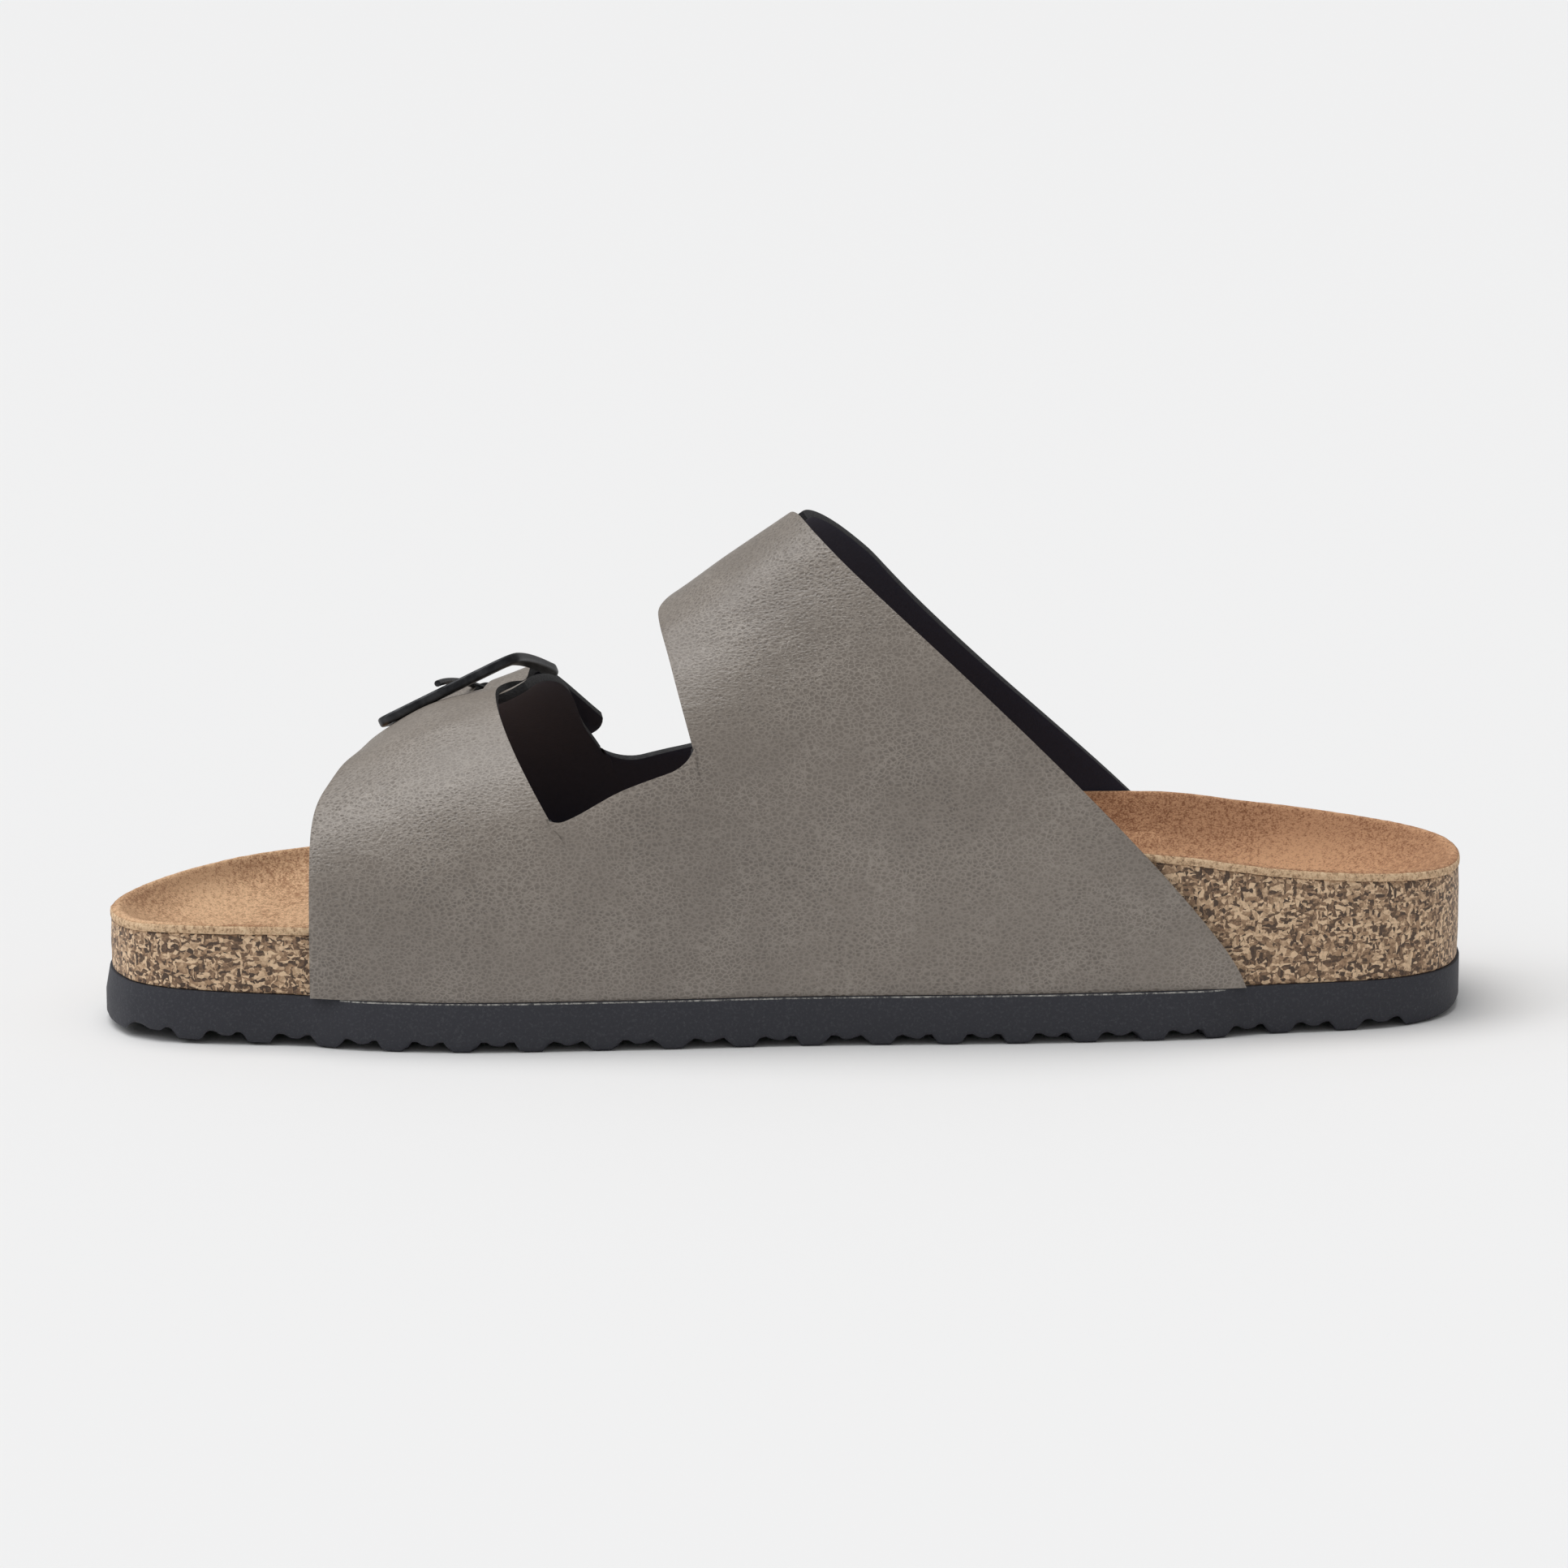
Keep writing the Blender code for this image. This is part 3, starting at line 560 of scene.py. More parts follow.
def leatherLook():
    look, tree, shader = startLook("taupeLeather")
    plain = spot(tree)
    wavy = spot(tree, scale=(0.72, 1.0, 1.0), warp=0.0012, warpScale=380)
    cracks = cellsOf(tree, wavy, leather["grainSize"], "DISTANCE_TO_EDGE")
    cracks = ramped(tree, cracks, ((0.0, (1.0,)), (0.17, (0.0,))))
    pores = cellsOf(tree, wavy, leather["grainSize"])
    pores = ramped(tree, pores, ((0.08, (1.0,)), (0.45, (0.0,))))
    drawn = spot(tree, scale=(0.42, 1, 1), warp=0.0012, warpScale=300)
    wrinkle = noiseOf(tree, drawn, 2300, 2.0)
    patches = ramped(tree, noiseOf(tree, plain, 48, 4, 0.6), ((0.38, (0.2,)), (0.62, (1.0,))))
    crackPatches = noiseOf(tree, spot(tree, turn=(40, 20, 0)), 75, 4, 0.6)
    crackPatches = ramped(tree, crackPatches, ((0.40, (0.5,)), (0.64, (1.0,))))
    strands = spot(tree, scale=(1, 1, 0.7), warp=0.009, warpScale=190)
    strands = cellsOf(tree, strands, 170, "DISTANCE_TO_EDGE")
    vein = ramped(tree, strands, ((0.0, (1.0,)), (0.05, (0.0,))))
    veinPatches = ramped(tree, noiseOf(tree, plain, 55, 3), ((0.50, (0.0,)), (0.72, (1.0,))))
    vein = maths(tree, "MULTIPLY", vein, veinPatches)
    broad = noiseOf(tree, plain, 16, 4)
    tone = ramped(tree, broad, ((0.3, (0.0,)), (0.7, (1.0,))))
    base = blended(tree, tone, leather["shade"], leather["colour"])
    poreShare = maths(tree, "MULTIPLY", pores, patches)
    crackShare = maths(tree, "MULTIPLY", cracks, crackPatches)
    for mark, strength, colour in (
        (poreShare, leather["poreShare"], leather["pore"]),
        (crackShare, leather["crackShare"], leather["crack"]),
        (vein, leather["veinShare"], leather["crack"]),
    ):
        base = blended(tree, maths(tree, "MULTIPLY", mark, strength), base, colour)
    tree.links.new(base, shader.inputs["Base Color"])
    rough = maths(tree, "MULTIPLY", maths(tree, "SUBTRACT", broad, 0.5), leather["roughChange"])
    rough = maths(tree, "ADD", leather["roughness"], rough)
    tree.links.new(rough, shader.inputs["Roughness"])
    folds = noiseOf(tree, spot(tree, scale=(0.45, 1, 1)), leather["foldSize"], 2)
    folds = bumped(tree, folds, leather["foldDepth"], 0.35)
    height = maths(tree, "MULTIPLY", wrinkle, 0.6)
    height = maths(tree, "SUBTRACT", height, maths(tree, "MULTIPLY", poreShare, 0.5))
    height = maths(tree, "SUBTRACT", height, maths(tree, "MULTIPLY", vein, 0.3))
    grain = bumped(tree, height, leather["grainDepth"], 0.45, folds)
    tree.links.new(grain, shader.inputs["Normal"])
    shader.inputs["Specular IOR Level"].default_value = 0.65
    return look


lining = {"colour": (0.020, 0.024, 0.046), "shade": (0.013, 0.016, 0.032)}


def liningLook():
    look, tree, shader = startLook("blackLining")
    speckle = noiseOf(tree, spot(tree), 1400, 3)
    base = blended(tree, speckle, lining["shade"], lining["colour"])
    tree.links.new(base, shader.inputs["Base Color"])
    shader.inputs["Roughness"].default_value = 0.92
    shader.inputs["Sheen Weight"].default_value = 0.12
    shader.inputs["Sheen Roughness"].default_value = 0.6
    shader.inputs["Sheen Tint"].default_value = (0.5, 0.5, 0.62, 1)
    tree.links.new(bumped(tree, speckle, 0.00015, 0.4), shader.inputs["Normal"])
    return look


cutEdge = {"colour": (0.040, 0.041, 0.043), "shade": (0.016, 0.016, 0.018)}


def cutEdgeLook():
    look, tree, shader = startLook("cutEdge")
    fibre = noiseOf(tree, spot(tree, scale=(0.6, 0.6, 1.6)), 1800, 4, 0.65)
    share = ramped(tree, fibre, ((0.35, (0.0,)), (0.70, (1.0,))))
    base = blended(tree, share, cutEdge["shade"], cutEdge["colour"])
    tree.links.new(base, shader.inputs["Base Color"])
    shader.inputs["Roughness"].default_value = 0.95
    tree.links.new(bumped(tree, fibre, 0.00035, 0.7), shader.inputs["Normal"])
    return look


suede = {
    "light": (0.92, 0.60, 0.36),
    "dark": (0.42, 0.215, 0.115),
    # painted shade: this colour darkens the heel bed in place of the heel cup's shade
    "wearAndShade": (0.80, 0.70, 0.66),
    # painted shade: this colour darkens the steep walls for their shade from the top light
    "wall": (0.72, 0.68, 0.66),
    "edge": (0.78, 0.53, 0.32),
    "edgeDark": (0.28, 0.16, 0.09),
    "edgeLight": (0.95, 0.72, 0.47),
}


def suedeLook():
    look, tree, shader = startLook("tanSuede")
    plain = spot(tree)
    nap = noiseOf(tree, plain, 2400, 4, 0.7)
    brushed = noiseOf(tree, spot(tree, scale=(1, 0.45, 1), turn=(0, 0, 25)), 1200, 3)
    cloud = noiseOf(tree, plain, 32, 4)
    share = maths(tree, "MULTIPLY", nap, 0.75)
    share = maths(tree, "ADD", share, maths(tree, "MULTIPLY", brushed, 0.35))
    cloud = maths(tree, "MULTIPLY", maths(tree, "SUBTRACT", cloud, 0.5), 0.30)
    share = maths(tree, "ADD", share, cloud)
    base = ramped(tree, share, ((0.45, suede["dark"]), (0.61, suede["light"])))
    # painted shade: the heel bed is darkened for the heel cup's shade, and the steep walls are
    # darkened for their shade from the top light
    where = add(tree, "ShaderNodeSeparateXYZ", {0: plain})
    heelShade = maths(tree, "ADD", where.outputs[0], 0.5)
    heelShade = ramped(tree, heelShade, ((0.47, (0.0,)), (0.53, (1.0,))))
    base = blended(tree, heelShade, base, suede["wearAndShade"], "MULTIPLY")
    # painted shade: faces that turn away from straight up are darkened
    surface = add(tree, "ShaderNodeNewGeometry")
    facing = add(tree, "ShaderNodeSeparateXYZ", {0: surface.outputs["Normal"]})
    wall = ramped(tree, facing.outputs[2], ((0.80, (1.0,)), (0.97, (0.0,))))
    base = blended(tree, wall, base, suede["wall"], "MULTIPLY")
    tree.links.new(base, shader.inputs["Base Color"])
    shader.inputs["Roughness"].default_value = 0.95
    shader.inputs["Specular IOR Level"].default_value = 0.15
    shader.inputs["Sheen Weight"].default_value = 0.20
    shader.inputs["Sheen Roughness"].default_value = 0.5
    shader.inputs["Sheen Tint"].default_value = (1.0, 0.72, 0.48, 1)
    tree.links.new(bumped(tree, nap, 0.0007, 0.7), shader.inputs["Normal"])
    return look


def suedeEdgeLook():
    look, tree, shader = startLook("suedeCutEdge")
    crumb = noiseOf(tree, spot(tree), 1300, 4, 0.75)
    tones = ((0.34, suede["edgeDark"]), (0.50, suede["edge"]), (0.66, suede["edgeLight"]))
    base = ramped(tree, crumb, tones)
    tree.links.new(base, shader.inputs["Base Color"])
    shader.inputs["Roughness"].default_value = 0.95
    tree.links.new(bumped(tree, crumb, 0.0007, 0.8), shader.inputs["Normal"])
    return look


cork = {
    "light": (0.86, 0.62, 0.40),
    "middle": (0.44, 0.275, 0.160),
    "brown": (0.22, 0.130, 0.075),
    "dark": (0.085, 0.052, 0.034),
    "flakeSize": 1600,
    "pickSize": 900,
    "flakes": (
        ((15, 38, 10), (1.0, 1.0, 0.36)),
        ((-20, -47, 60), (0.36, 1.0, 1.0)),
        ((0, 5, 20), (0.42, 0.8, 1.0)),
    ),
}


def corkLook():
    look, tree, shader = startLook("corkGranules")
    tones = []
    for turn, stretch in cork["flakes"]:
        where = spot(tree, scale=stretch, turn=turn, warp=0.0009, warpScale=800)
        tones.append(cellsOf(tree, where, cork["flakeSize"], output="Color"))
    pick = cellsOf(tree, spot(tree), cork["pickSize"], output="Color")
    pick = add(tree, "ShaderNodeSeparateColor", {0: pick})
    first = maths(tree, "GREATER_THAN", pick.outputs[0], 0.62)
    second = maths(tree, "GREATER_THAN", pick.outputs[1], 0.55)
    tone = blended(tree, first, tones[0], tones[1])
    tone = blended(tree, second, tone, tones[2])
    split = add(tree, "ShaderNodeSeparateColor", {0: tone})
    fine = noiseOf(tree, spot(tree), 1500, 4, 0.7)
    spread = maths(tree, "MULTIPLY", maths(tree, "SUBTRACT", fine, 0.5), 0.9)
    share = maths(tree, "ADD", split.outputs[0], spread)
    stops = (
        (0.10, cork["dark"]),
        (0.32, cork["brown"]),
        (0.56, cork["middle"]),
        (0.92, cork["light"]),
    )
    base = ramped(tree, share, stops)
    tree.links.new(base, shader.inputs["Base Color"])
    shader.inputs["Roughness"].default_value = 0.72
    shader.inputs["Coat Weight"].default_value = 0.12
    shader.inputs["Coat Roughness"].default_value = 0.35
    height = maths(tree, "MULTIPLY", split.outputs[1], 0.6)
    height = maths(tree, "ADD", height, maths(tree, "MULTIPLY", fine, 0.6))
    tree.links.new(bumped(tree, height, 0.0006, 0.6), shader.inputs["Normal"])
    return look


foam = {
    "colour": (0.037, 0.038, 0.048),
    "shade": (0.024, 0.025, 0.030),
    "fleck": (0.085, 0.087, 0.098),
}


def foamLook():
    look, tree, shader = startLook("blackFoam")
    plain = spot(tree)
    flecks = noiseOf(tree, plain, 1900, 3, 0.7)
    flecks = ramped(tree, flecks, ((0.52, (0.0,)), (0.80, (1.0,))))
    cloud = noiseOf(tree, plain, 60, 4)
    base = blended(tree, flecks, foam["colour"], foam["fleck"])
    base = blended(tree, maths(tree, "MULTIPLY", cloud, 0.4), base, foam["shade"])
    tree.links.new(base, shader.inputs["Base Color"])
    shader.inputs["Roughness"].default_value = 0.62
    shader.inputs["Specular IOR Level"].default_value = 0.35
    skin = noiseOf(tree, plain, 1100, 4, 0.7)
    tree.links.new(bumped(tree, skin, 0.00025, 0.5), shader.inputs["Normal"])
    return look


glue = {"bare": (0.05, 0.05, 0.055), "bead": (0.42, 0.41, 0.38)}


def glueLook():
    look, tree, shader = startLook("glueLine")
    beads = noiseOf(tree, spot(tree), 900, 3, 0.8)
    base = ramped(tree, beads, ((0.42, glue["bare"]), (0.60, glue["bead"])))
    tree.links.new(base, shader.inputs["Base Color"])
    shader.inputs["Roughness"].default_value = 0.4
    return look


metal = {"colour": (0.028, 0.029, 0.032), "wearAndShade": (0.075, 0.076, 0.08)}


def metalLook():
    look, tree, shader = startLook("gunmetal")
    smudge = noiseOf(tree, spot(tree), 420, 4)
    share = ramped(tree, smudge, ((0.40, (0.0,)), (0.75, (1.0,))))
    base = blended(tree, share, metal["colour"], metal["wearAndShade"])
    tree.links.new(base, shader.inputs["Base Color"])
    shader.inputs["Metallic"].default_value = 0.85
    rough = maths(tree, "ADD", 0.30, maths(tree, "MULTIPLY", smudge, 0.2))
    tree.links.new(rough, shader.inputs["Roughness"])
    skin = noiseOf(tree, spot(tree), 1500, 3)
    tree.links.new(bumped(tree, skin, 0.00008, 0.35), shader.inputs["Normal"])
    return look


leatherSkin, liningSkin, cutSkin = leatherLook(), liningLook(), cutEdgeLook()
suedeTop, suedeRim = suedeLook(), suedeEdgeLook()
corkBody, foamBody, glueBody, gunmetal = corkLook(), foamLook(), glueLook(), metalLook()
print("stage: materials made")


tread = {
    "pitch": 13.4 * mm,
    "lug": 4.2 * mm,
    "depth": 1.9 * mm,
    "wave": 2.6 * mm,
    "waveLength": 26 * mm,
    "points": 720,
    "rings": 40,
}
outsole = {
    "ledge": 0.5 * mm,
    "flare": 0.8 * mm,
    "corner": 1.0 * mm,
    "topCorner": 0.35 * mm,
    "topRing": 5,
}


def outsoleReach(share):
    return outsole["ledge"] + (shoe["wall"] + shoe["gap"]) * coverShare(share)


treadProfile = smoothCurve(
    (0.0, 0.10, 0.16, 0.28, 0.40, 0.46, 0.60, 0.66, 0.74, 0.86, 0.92, 1.0),
    [tread["depth"] * k for k in (0, 0.75, 1.0, 1.0, 0.66, 0.58, 0.58, 0.70, 1.0, 1.0, 0.6, 0)],
)


def treadHeight(x, y):
    # how high the grooves cut into the sole there
    wave = tread["wave"] * math.sin(2 * math.pi * y / tread["waveLength"]) / 2
    start = xOf(0.0) + 0.35 * tread["pitch"]
    place = (x - wave - start) / tread["pitch"]
    count = int((shoe["length"] - 0.5 * tread["pitch"]) / tread["pitch"])
    if place < 0 or place >= count:
        return 0.0
    within = (place - math.floor(place)) * tread["pitch"] / (tread["pitch"] - tread["lug"])
    return treadProfile(within) if within < 1 else 0.0


def makeOutsole():
    count = tread["points"]

    def flared(share):
        return outsoleReach(share) + outsole["flare"] * (1 - ramp(0.0, 0.3, share))

    inner = outlinePoints(count, lambda share: outsoleReach(share) - outsole["corner"])
    low = outlinePoints(count, lambda share: flared(share) - 0.28 * outsole["corner"])
    full = outlinePoints(count, flared)
    top = outlinePoints(count, outsoleReach)
    turned = outlinePoints(count, lambda share: outsoleReach(share) - 0.1 * mm)
    ledge = outlinePoints(count, lambda share: outsoleReach(share) - 0.9 * mm)
    inside = outlinePoints(count, lambda share: -3 * mm)

    def topHeight(x):
        return toeLift(x) + shoe["outsole"]

    def under(reach):
        def place(i):
            x, y = inner[i]
            spineX, spineY = spinePoint(x)
            x, y = mix(spineX, x, reach), mix(spineY, y, reach)
            return Vector((x, y, groundLift(x) + treadHeight(x, y)))

        return place

    def wall(points, height, cut):
        def place(i):
            x, y = points[i]
            rise = treadHeight(x, y) * cut
            return Vector((x, y, height(x) + rise))

        return place

    corner = outsole["corner"]
    levels = [under(n / tread["rings"]) for n in range(tread["rings"] + 1)]
    levels += [
        wall(low, lambda x: groundLift(x) + 0.28 * corner, 1.0),
        wall(full, lambda x: groundLift(x) + corner, 0.92),
        wall(full, lambda x: groundLift(x) + corner + 0.8 * mm, 0.62),
        wall(full, lambda x: mix(groundLift(x) + corner, topHeight(x), 0.45), 0.0),
        wall(top, lambda x: topHeight(x) - outsole["topCorner"], 0.0),
        wall(turned, lambda x: topHeight(x) - 0.08 * mm, 0.0),
        wall(ledge, topHeight, 0.0),
        wall(inside, topHeight, 0.0),
        wall([spinePoint(x) for x, _ in inner], topHeight, 0.0),
    ]
    bm, level = ringStack(count, levels)
    glueLevel = tread["rings"] + outsole["topRing"]
    for face in bm.faces:
        if face[level] == glueLevel:
            centre = face.calc_center_median()
            face.material_index = 1 if coverShare(shareOf(centre.x)) > 0.6 else 0
    stretchSole(bm)
    piece = addPiece("foamOutsole", bm, [foamBody, glueBody], 50)
    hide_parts("outsole")


makeOutsole()
print("stage: outsole made")


footbed = {"points": 320, "roughness": 0.10 * mm, "bulge": 0.15 * mm, "topEdge": 0.25 * mm}


def makeFootbed():
    count = footbed["points"]
    edge = outlinePoints(count)
    base = shoe["outsole"] + shoe["seat"]
    drop = shoe["insole"] + shoe["bond"]
    stretch = [0.0, 0.02, 0.15, 0.3, 0.45, 0.6, 0.75, 0.88, 0.97, 1.0]

    def under(reach):
        def place(i):
            x, y = edge[i]
            spineX, spineY = spinePoint(x)
            x, y = mix(spineX, x, reach), mix(spineY, y, reach)
            return Vector((x, y, base + toeLift(x)))

        return place

    def side(share):
        def place(i):
            top = bedPoint(edge, i, count, 1.0, drop)
            low = Vector((top.x, top.y, base + toeLift(top.x)))
            point = low.lerp(top, share)
            out = Vector((point.x * 0.35, point.y, 0)).normalized()
            rough = noise.noise(point * 900) * footbed["roughness"]
            bulge = footbed["bulge"] * math.sin(math.pi * share)
            trim = footbed["topEdge"] if share in (0.0, 1.0) else 0.0
            return point + out * (rough + bulge - trim)

        return place

    levels = [under(0.0), under(0.9)] + [side(share) for share in stretch]
    levels += [lambda i, r=r: bedPoint(edge, i, count, r, drop) for r in (0.97, 0.9, 0.7, 0.4, 0.0)]
    bm, _ = ringStack(count, levels)
    stretchSole(bm)
    piece = addPiece("corkFootbed", bm, [corkBody])
    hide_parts("footbed")


insole = {
    "points": 320,
    "rounding": 0.8 * mm,
    "wave": 0.12 * mm,
    "ragged": 0.09 * mm,
    "edgeRings": (3, 7),
    "topRings": (
        0.975, 0.955, 0.93, 0.90, 0.86, 0.82, 0.77, 0.71,
        0.64, 0.56, 0.46, 0.35, 0.22, 0.10, 0.0,
    ),
}


def makeInsole():
    count = insole["points"]
    edge = outlinePoints(count)
    thick, rounding = shoe["insole"], insole["rounding"]

    def top(reach):
        def place(i):
            point = bedPoint(edge, i, count, reach, 0.0)
            soft = noise.noise(point * 60) * insole["wave"] * (1 - reach**6)
            return point + Vector((0, 0, soft))

        return place

    def rim(out, drop):
        points = outlinePoints(count, lambda share: out)

        def place(i):
            point = bedPoint(edge, i, count, 1.0, drop)
            ragged = noise.noise(Vector((*points[i], 0)) * 700) * insole["ragged"]
            return Vector((points[i][0], points[i][1], point.z + ragged))

        return place

    levels = [lambda i, r=r: bedPoint(edge, i, count, r, thick) for r in (0.0, 0.5, 0.94, 0.99)]
    levels += [
        rim(0.0, thick),
        rim(0.22 * mm, thick - 0.25 * mm),
        rim(0.26 * mm, thick * 0.5),
        rim(0.20 * mm, rounding * 0.6),
        rim(0.0, rounding * 0.28),
        rim(-0.45 * mm, rounding * 0.06),
    ]
    levels += [top(reach) for reach in insole["topRings"]]
    bm, level = ringStack(count, levels)
    firstRing, lastRing = insole["edgeRings"]
    for face in bm.faces:
        face.material_index = 1 if firstRing <= face[level] <= lastRing else 0
    stretchSole(bm)
    piece = addPiece("suedeInsole", bm, [suedeTop, suedeRim])
    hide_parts("insole")


makeFootbed()
makeInsole()
print("stage: footbed and insole made")


sheet = {"strapColumns": 24, "notchColumns": 44, "baseRows": 16, "strapRows": 110, "calm": 12}


def edgeMarks(half, pair, width, girth):
    first, last = half["narrow"]
    share = ramp(0, 1, (girth - first) / (last - first))
    marks = []
    for strap, quarter in zip(pair, (half["front"], half["rear"])):
        for own, narrow in zip(quarter, strap.edges(max(girth, 0.41), width)):
            marks.append(mix(own, narrow, share))
    if "sway" in half:
        # the rear edge hangs in a soft bend
        start, end, reach = half["sway"]
        along = min(1.0, max(0.0, (girth - start) / (end - start)))
        marks[3] -= reach * math.sin(2 * math.pi * along)
    return marks


def cornerGirth(half, share):
    girth = mix(*half["notch"], share)
    for rise, turn, fromCorner in zip(half["notchRise"], half["notchTurn"], (share, 1 - share)):
        if fromCorner < turn:
            girth += rise * (1 - math.sqrt(1 - (1 - fromCorner / turn) ** 2))
    return girth


def makeHalf(name, half, pair, width, ends, heightOf, slots):
    strapCols, notchCols = sheet["strapColumns"], sheet["notchColumns"]
    baseRows, rows = sheet["baseRows"], sheet["baseRows"] + sheet["strapRows"]
    second = strapCols + notchCols
    columns = second + strapCols
    bm = bmesh.new()
    bmesh.ops.create_grid(bm, x_segments=columns, y_segments=rows, size=1.0)
    place = {}
    for vert in bm.verts:
        place[vert] = (round((vert.co.x + 1) / 2 * columns), round((vert.co.y + 1) / 2 * rows))

    def gridSpot(face):
        spots = [place[vert] for vert in face.verts]
        return sum(j for j, _ in spots) / 4, sum(i for _, i in spots) / 4

    cutOut = []
    for face in bm.faces:
        j, i = gridSpot(face)
        if strapCols < j < second and i > baseRows:
            cutOut.append(face)
    marksAt = {}

    def marks(girth):
        key = round(girth, 6)
        if key not in marksAt:
            marksAt[key] = edgeMarks(half, pair, width, girth)
        return marksAt[key]

    spotOf = {}
    for vert, (j, i) in place.items():
        inFront, inRear = j <= strapCols, j >= second
        strap, end = (pair[0], ends[0]) if inFront else (pair[1], ends[1])
        if inFront or inRear:
            start = 0 if inFront else second
            side = abs(2 * (j - start) / strapCols - 1)
            corner = cornerGirth(half, 0.0 if inFront else 1.0)
            end = mix(end, corner, 0.03 * side**4)
            notchShare = None
        else:
            notchShare = (1 - math.cos(math.pi * (j - strapCols) / notchCols)) / 2
            corner = cornerGirth(half, notchShare)
        if i <= baseRows:
            girth = mix(half["base"], corner, i / baseRows)
        elif notchShare is None:
            girth = mix(corner, end, (i - baseRows) / (rows - baseRows))
        else:
            continue
        mark = marks(girth)
        if inFront:
            across = mix(mark[0], mark[1], j / strapCols)
        elif inRear:
            across = mix(mark[2], mark[3], (j - second) / strapCols)
        else:
            across = mix(mark[1], mark[2], notchShare)
        height = heightOf(strap if i > baseRows else None, girth, across) + shoe["wall"] / 2
        vert.co = shellPoint(across, girth, height)
        spotOf[j, i] = vert
    for _ in range(sheet["calm"]):
        # each column is calmed along its length, so that no row shows as a kink
        moved = {}
        for (j, i), vert in spotOf.items():
            if i > 3 and (j, i - 1) in spotOf and (j, i + 1) in spotOf:
                moved[vert] = vert.co * 0.5 + (spotOf[j, i - 1].co + spotOf[j, i + 1].co) * 0.25
        for vert, co in moved.items():
            vert.co = co
    if slots:
        # the middle columns are opened where the prong passes through the strap
        finish = pivotAlong + prong["eye"]
        begin = finish - prong["slotLength"] + 1 * mm
        for face in bm.faces:
            j, i = gridSpot(face)
            inFront = j < strapCols
            start, strap, end = (0, pair[0], ends[0]) if inFront else (second, pair[1], ends[1])
            if abs(j - start - strapCols / 2) > 1.1:
                continue
            corner = cornerGirth(half, 0.0 if inFront else 1.0)
            girth = mix(corner, end, (i - baseRows) / (rows - baseRows))
            if begin < strap.distance(girth) < finish:
                cutOut.append(face)
    bmesh.ops.delete(bm, geom=cutOut, context="FACES")
    bmesh.ops.recalc_face_normals(bm, faces=bm.faces)
    middle = max(bm.faces, key=lambda f: f.calc_center_median().z)
    if middle.normal.z < 0:
        bmesh.ops.reverse_faces(bm, faces=bm.faces)
    piece = addPiece(name, bm, [leatherSkin, liningSkin, cutSkin], 180)
    wall = piece.modifiers.new("wall", "SOLIDIFY")
    wall.thickness = shoe["wall"]
    wall.offset = 0
    wall.use_even_offset = True
    wall.material_offset = 1
    wall.material_offset_rim = 2
    edge = piece.modifiers.new("roundEdges", "BEVEL")
    edge.width = upper["edgeRounding"]
    edge.segments = 2
    edge.limit_method = "ANGLE"
    edge.angle_limit = math.radians(55)
    edge.use_clamp_overlap = True
    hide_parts("upper")


tails = [strap.girth(pivotAlong + upper["tail"]) for strap in straps]
tabEnds = (lateralHalf["end"], lateralHalf["end"])
makeHalf("upperMedial", medialHalf, straps, upper["strapWidth"], tails, strapHeight, True)
makeHalf("upperLateral", lateralHalf, tabs, upper["tabWidth"], tabEnds, lambda *_: 0.0, False)
print("stage: upper made")


def bucklePoint(strap, across, along, height):
    middle, crossWay, up = strap.bar(strap.girth(along))
    return middle + crossWay * across + up * height


def roundedRectangle(halfWidth, start, end, corner, arcSteps=8, sideSteps=14):
    points = []
    centres = ((1, end), (-1, end), (-1, start), (1, start))
    for k, (side, along) in enumerate(centres):
        inward = -corner if along == end else corner
        for n in range(arcSteps + 1):
            angle = math.pi / 2 * (k + n / arcSteps)
            x = side * (halfWidth - corner) + corner * math.cos(angle)
            points.append((x, along + inward + corner * math.sin(angle)))
        if k % 2:
            first, last = end - corner, start + corner
            if k == 3:
                first, last = last, first
            for n in range(1, sideSteps):
                points.append((side * halfWidth, mix(first, last, n / sideSteps)))
    return points


def makeBuckle(name, node, strap):
    half = buckle["thickness"] / 2
    outer = roundedRectangle(buckle["width"] / 2, 0, buckle["length"], buckle["corner"])
    inner = roundedRectangle(
        buckle["width"] / 2 - buckle["sideBar"],
        buckle["nearBar"],
        buckle["length"] - buckle["pivotBar"],
        buckle["innerCorner"],
    )
    bm = bmesh.new()
    rings = []
    for points in (outer, inner):
        ring = bmesh.ops.create_circle(bm, cap_ends=False, segments=len(points), radius=1)["verts"]
        for vert, (x, y) in zip(ring, points):
            vert.co = (x, y, -half)
        rings.append(ring)
    bmesh.ops.bridge_loops(bm, edges=bm.edges[:])
    made = bmesh.ops.extrude_face_region(bm, geom=bm.faces[:])["geom"]
    lifted = [item for item in made if isinstance(item, bmesh.types.BMVert)]
    bmesh.ops.translate(bm, verts=lifted, vec=(0, 0, 2 * half))
    bmesh.ops.recalc_face_normals(bm, faces=bm.faces)
    sharpFrom = math.radians(60)
    sharp = [e for e in bm.edges if len(e.link_faces) == 2 and e.calc_face_angle() > sharpFrom]
    bmesh.ops.bevel(
        bm,
        geom=sharp,
        offset=buckle["rounding"],
        offset_type="OFFSET",
        segments=3,
        profile=0.5,
        affect="EDGES",
        clamp_overlap=True,
        material=-1,
    )
    for vert in bm.verts:
        vert.co = bucklePoint(strap, vert.co.x, vert.co.y, frameHeight + vert.co.z)
    bmesh.ops.recalc_face_normals(bm, faces=bm.faces)
    piece = addPiece(name, bm, [gunmetal], 60)
    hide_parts(node)


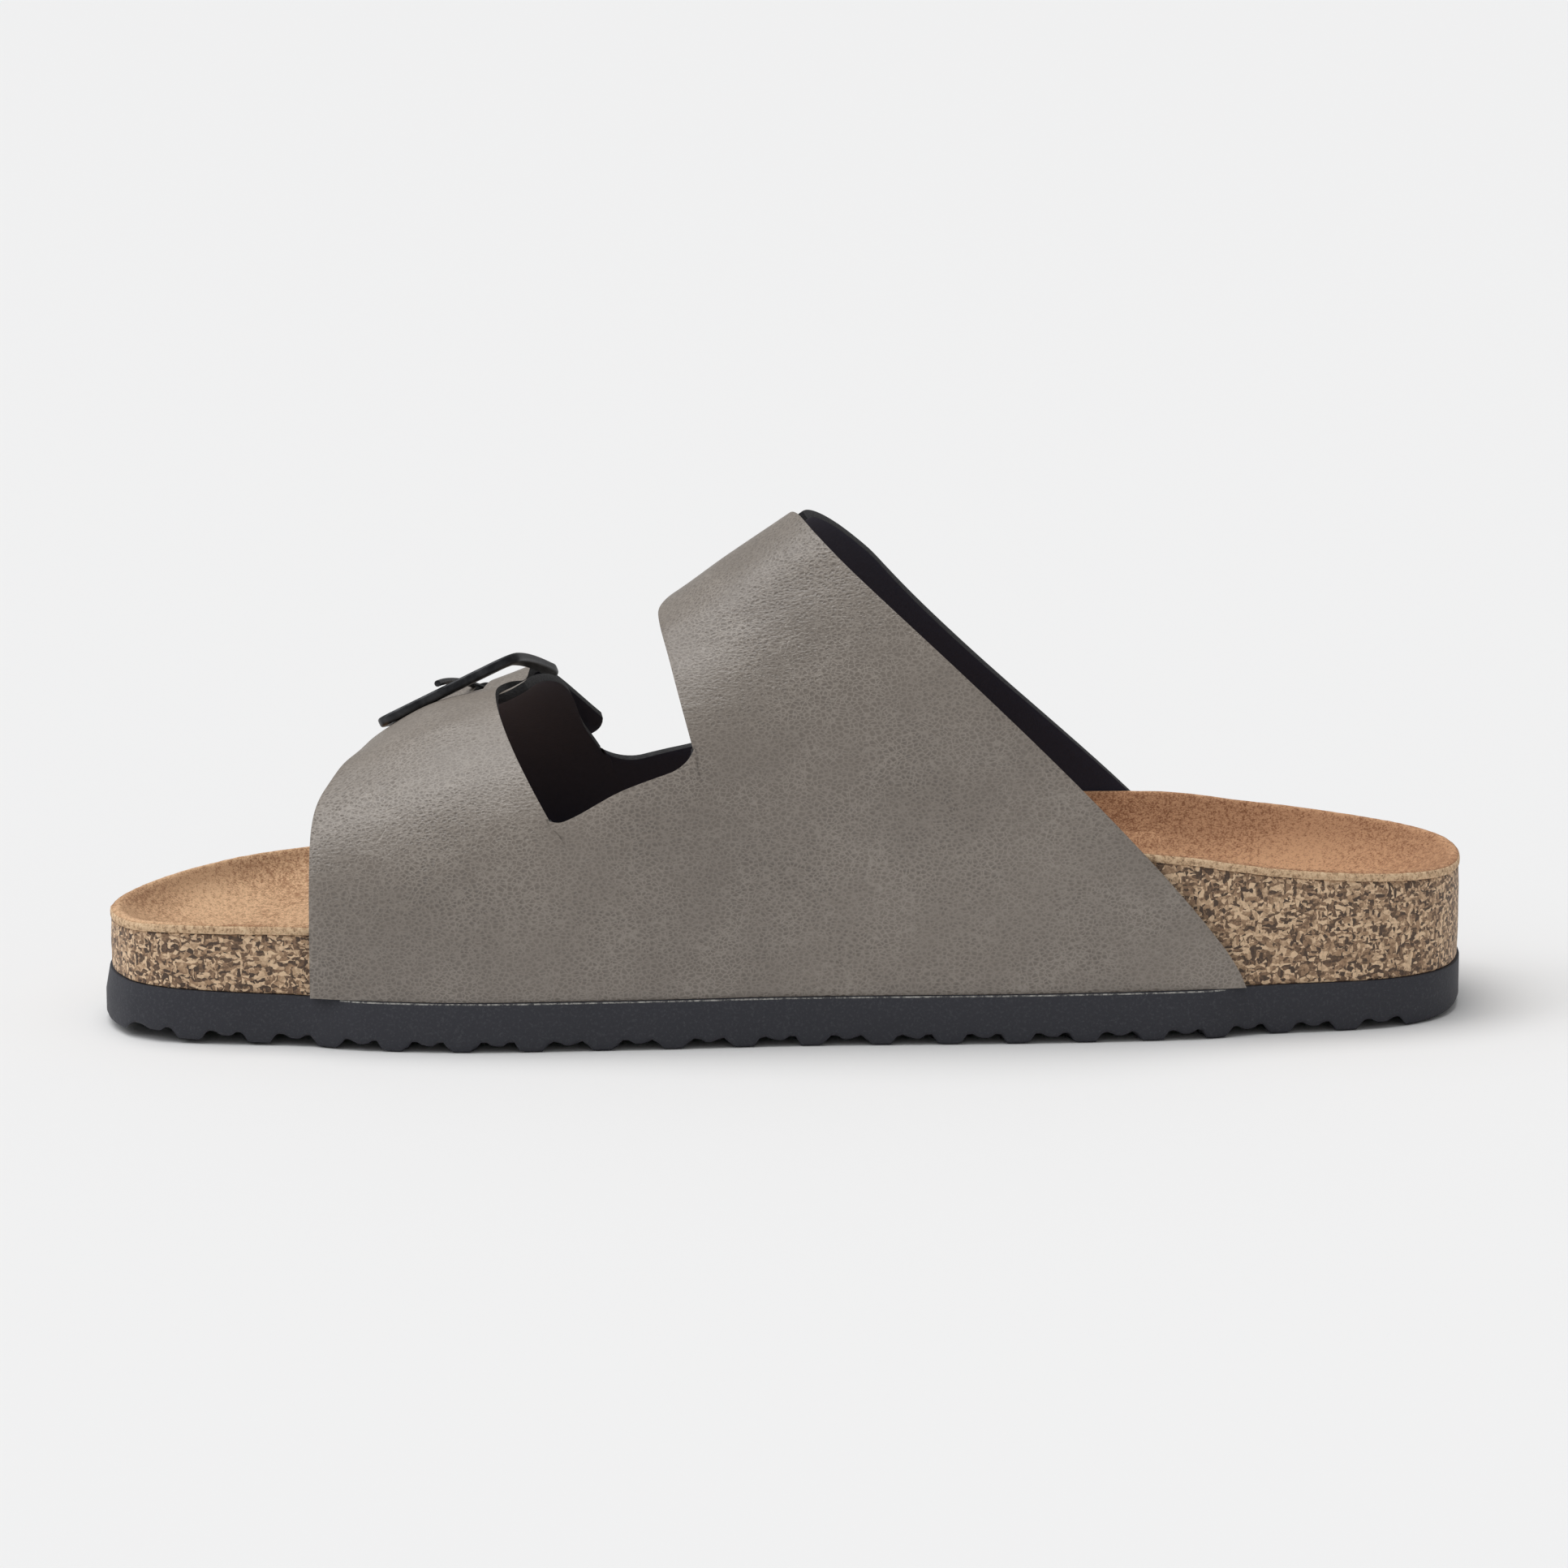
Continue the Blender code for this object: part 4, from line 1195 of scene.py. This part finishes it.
def prongPath(strap):
    radius = prong["eye"] - prong["diameter"] / 2
    points = []
    for degrees in range(-165, 91, 15):
        turn = math.radians(degrees)
        along = pivotAlong + radius * math.cos(turn)
        points.append(bucklePoint(strap, 0, along, frameHeight + radius * math.sin(turn)))
    rest = frameHeight + buckle["thickness"] / 2 + shoe["gap"] + prong["diameter"] / 2
    for n in range(1, 15):
        share = n / 14
        along = mix(pivotAlong, buckle["nearBar"], share)
        points.append(bucklePoint(strap, 0, along, mix(frameHeight + radius, rest, share)))
    points.append(bucklePoint(strap, 0, buckle["nearBar"] / 2, rest))
    points.append(bucklePoint(strap, 0, -prong["overhang"] * 0.7, rest))
    points.append(bucklePoint(strap, 0, -prong["overhang"], rest))
    return points


def makeProng(name, node, strap):
    points = prongPath(strap)
    bm = bmesh.new()
    radius = prong["diameter"] / 2
    ring = bmesh.ops.create_circle(bm, cap_ends=True, segments=14, radius=radius)["verts"]
    corners = [v.co.copy() for v in ring]
    order = bm.verts.layers.int.new("order")
    for i, vert in enumerate(bm.verts):
        vert[order] = i
    side = None
    edges = list(bm.edges)
    for n, point in enumerate(points):
        along = (points[min(n + 1, len(points) - 1)] - points[max(n - 1, 0)]).normalized()
        side = along.orthogonal() if side is None else side - along * side.dot(along)
        side.normalize()
        up = along.cross(side)
        size = 0.62 if n in (0, len(points) - 1) else 1.0
        if n:
            made = bmesh.ops.extrude_edge_only(bm, edges=edges)["geom"]
            verts = [item for item in made if isinstance(item, bmesh.types.BMVert)]
            edges = openEdges(made)
        else:
            verts = bm.verts[:]
        for vert in verts:
            flat = corners[vert[order]]
            vert.co = point + (side * flat.x + up * flat.y) * size
    bmesh.ops.contextual_create(bm, geom=edges)
    bmesh.ops.recalc_face_normals(bm, faces=bm.faces)
    piece = addPiece(name, bm, [gunmetal], 60)
    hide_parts(node)


for placeName, strap in zip(("front", "rear"), straps):
    makeBuckle(placeName + "BuckleFrame", placeName + "_buckle", strap)
    makeProng(placeName + "BuckleProng", placeName + "_prong", strap)
print("stage: buckles made")


studio = {
    "floor": (0.86, 0.86, 0.86),
    "floorSize": 12,
    "world": 0.36,
    "top": {"fromWay": (-0.22, 0.06, 1.0), "power": 1.74, "spread": 50},
    "left": {
        "fromWay": (-1.0, -0.10, 0.75),
        "power": 0.70,
        "spread": 40,
        "colour": (0.97, 0.98, 1.0),
    },
}
view = {"lens": 149.12, "targetHeight": 0.042854, "elevation": 11.7, "distance": 1.3}


def makeFloor():
    look, _, shader = startLook("paleFloor")
    shader.inputs["Base Color"].default_value = (*studio["floor"], 1)
    shader.inputs["Roughness"].default_value = 0.9
    shader.inputs["Specular IOR Level"].default_value = 0.1
    bm = bmesh.new()
    bmesh.ops.create_grid(bm, x_segments=4, y_segments=4, size=studio["floorSize"])
    mesh = bpy.data.meshes.new("studioFloor")
    bm.to_mesh(mesh)
    bm.free()
    mesh.materials.append(look)
    floor = bpy.data.objects.new("studioFloor", mesh)
    bpy.context.scene.collection.objects.link(floor)


def addSun(name, fromWay, power, spread, colour=(1, 1, 1)):
    data = bpy.data.lights.new(name, "SUN")
    data.energy = power
    data.angle = math.radians(spread)
    data.color = colour
    lamp = bpy.data.objects.new(name, data)
    bpy.context.scene.collection.objects.link(lamp)
    lamp.location = Vector(fromWay).normalized() * 2
    lamp.rotation_euler = (-Vector(fromWay)).to_track_quat("-Z", "Y").to_euler()


def makeStudio():
    makeFloor()
    world = bpy.data.worlds.new("studioWorld")
    world.use_nodes = True
    backdrop = world.node_tree.nodes["Background"]
    backdrop.inputs["Color"].default_value = (1.0, 1.0, 1.0, 1)
    backdrop.inputs["Strength"].default_value = studio["world"]
    bpy.context.scene.world = world
    addSun("topSoftbox", **studio["top"])
    addSun("leftSoftbox", **studio["left"])


def makeCamera():
    data = bpy.data.cameras.new("photoCamera")
    data.sensor_width = 36
    data.lens = view["lens"]
    data.clip_end = 50
    camera = bpy.data.objects.new("photoCamera", data)
    bpy.context.scene.collection.objects.link(camera)
    target = Vector((0, 0, view["targetHeight"]))
    angle = math.radians(view["elevation"])
    toCamera = Vector((0, -math.cos(angle), math.sin(angle)))
    camera.location = target + toCamera * view["distance"]
    camera.rotation_euler = (target - camera.location).to_track_quat("-Z", "Y").to_euler()
    bpy.context.scene.camera = camera


makeStudio()
makeCamera()
bpy.context.scene.view_settings.view_transform = "Standard"
print("stage: studio made")
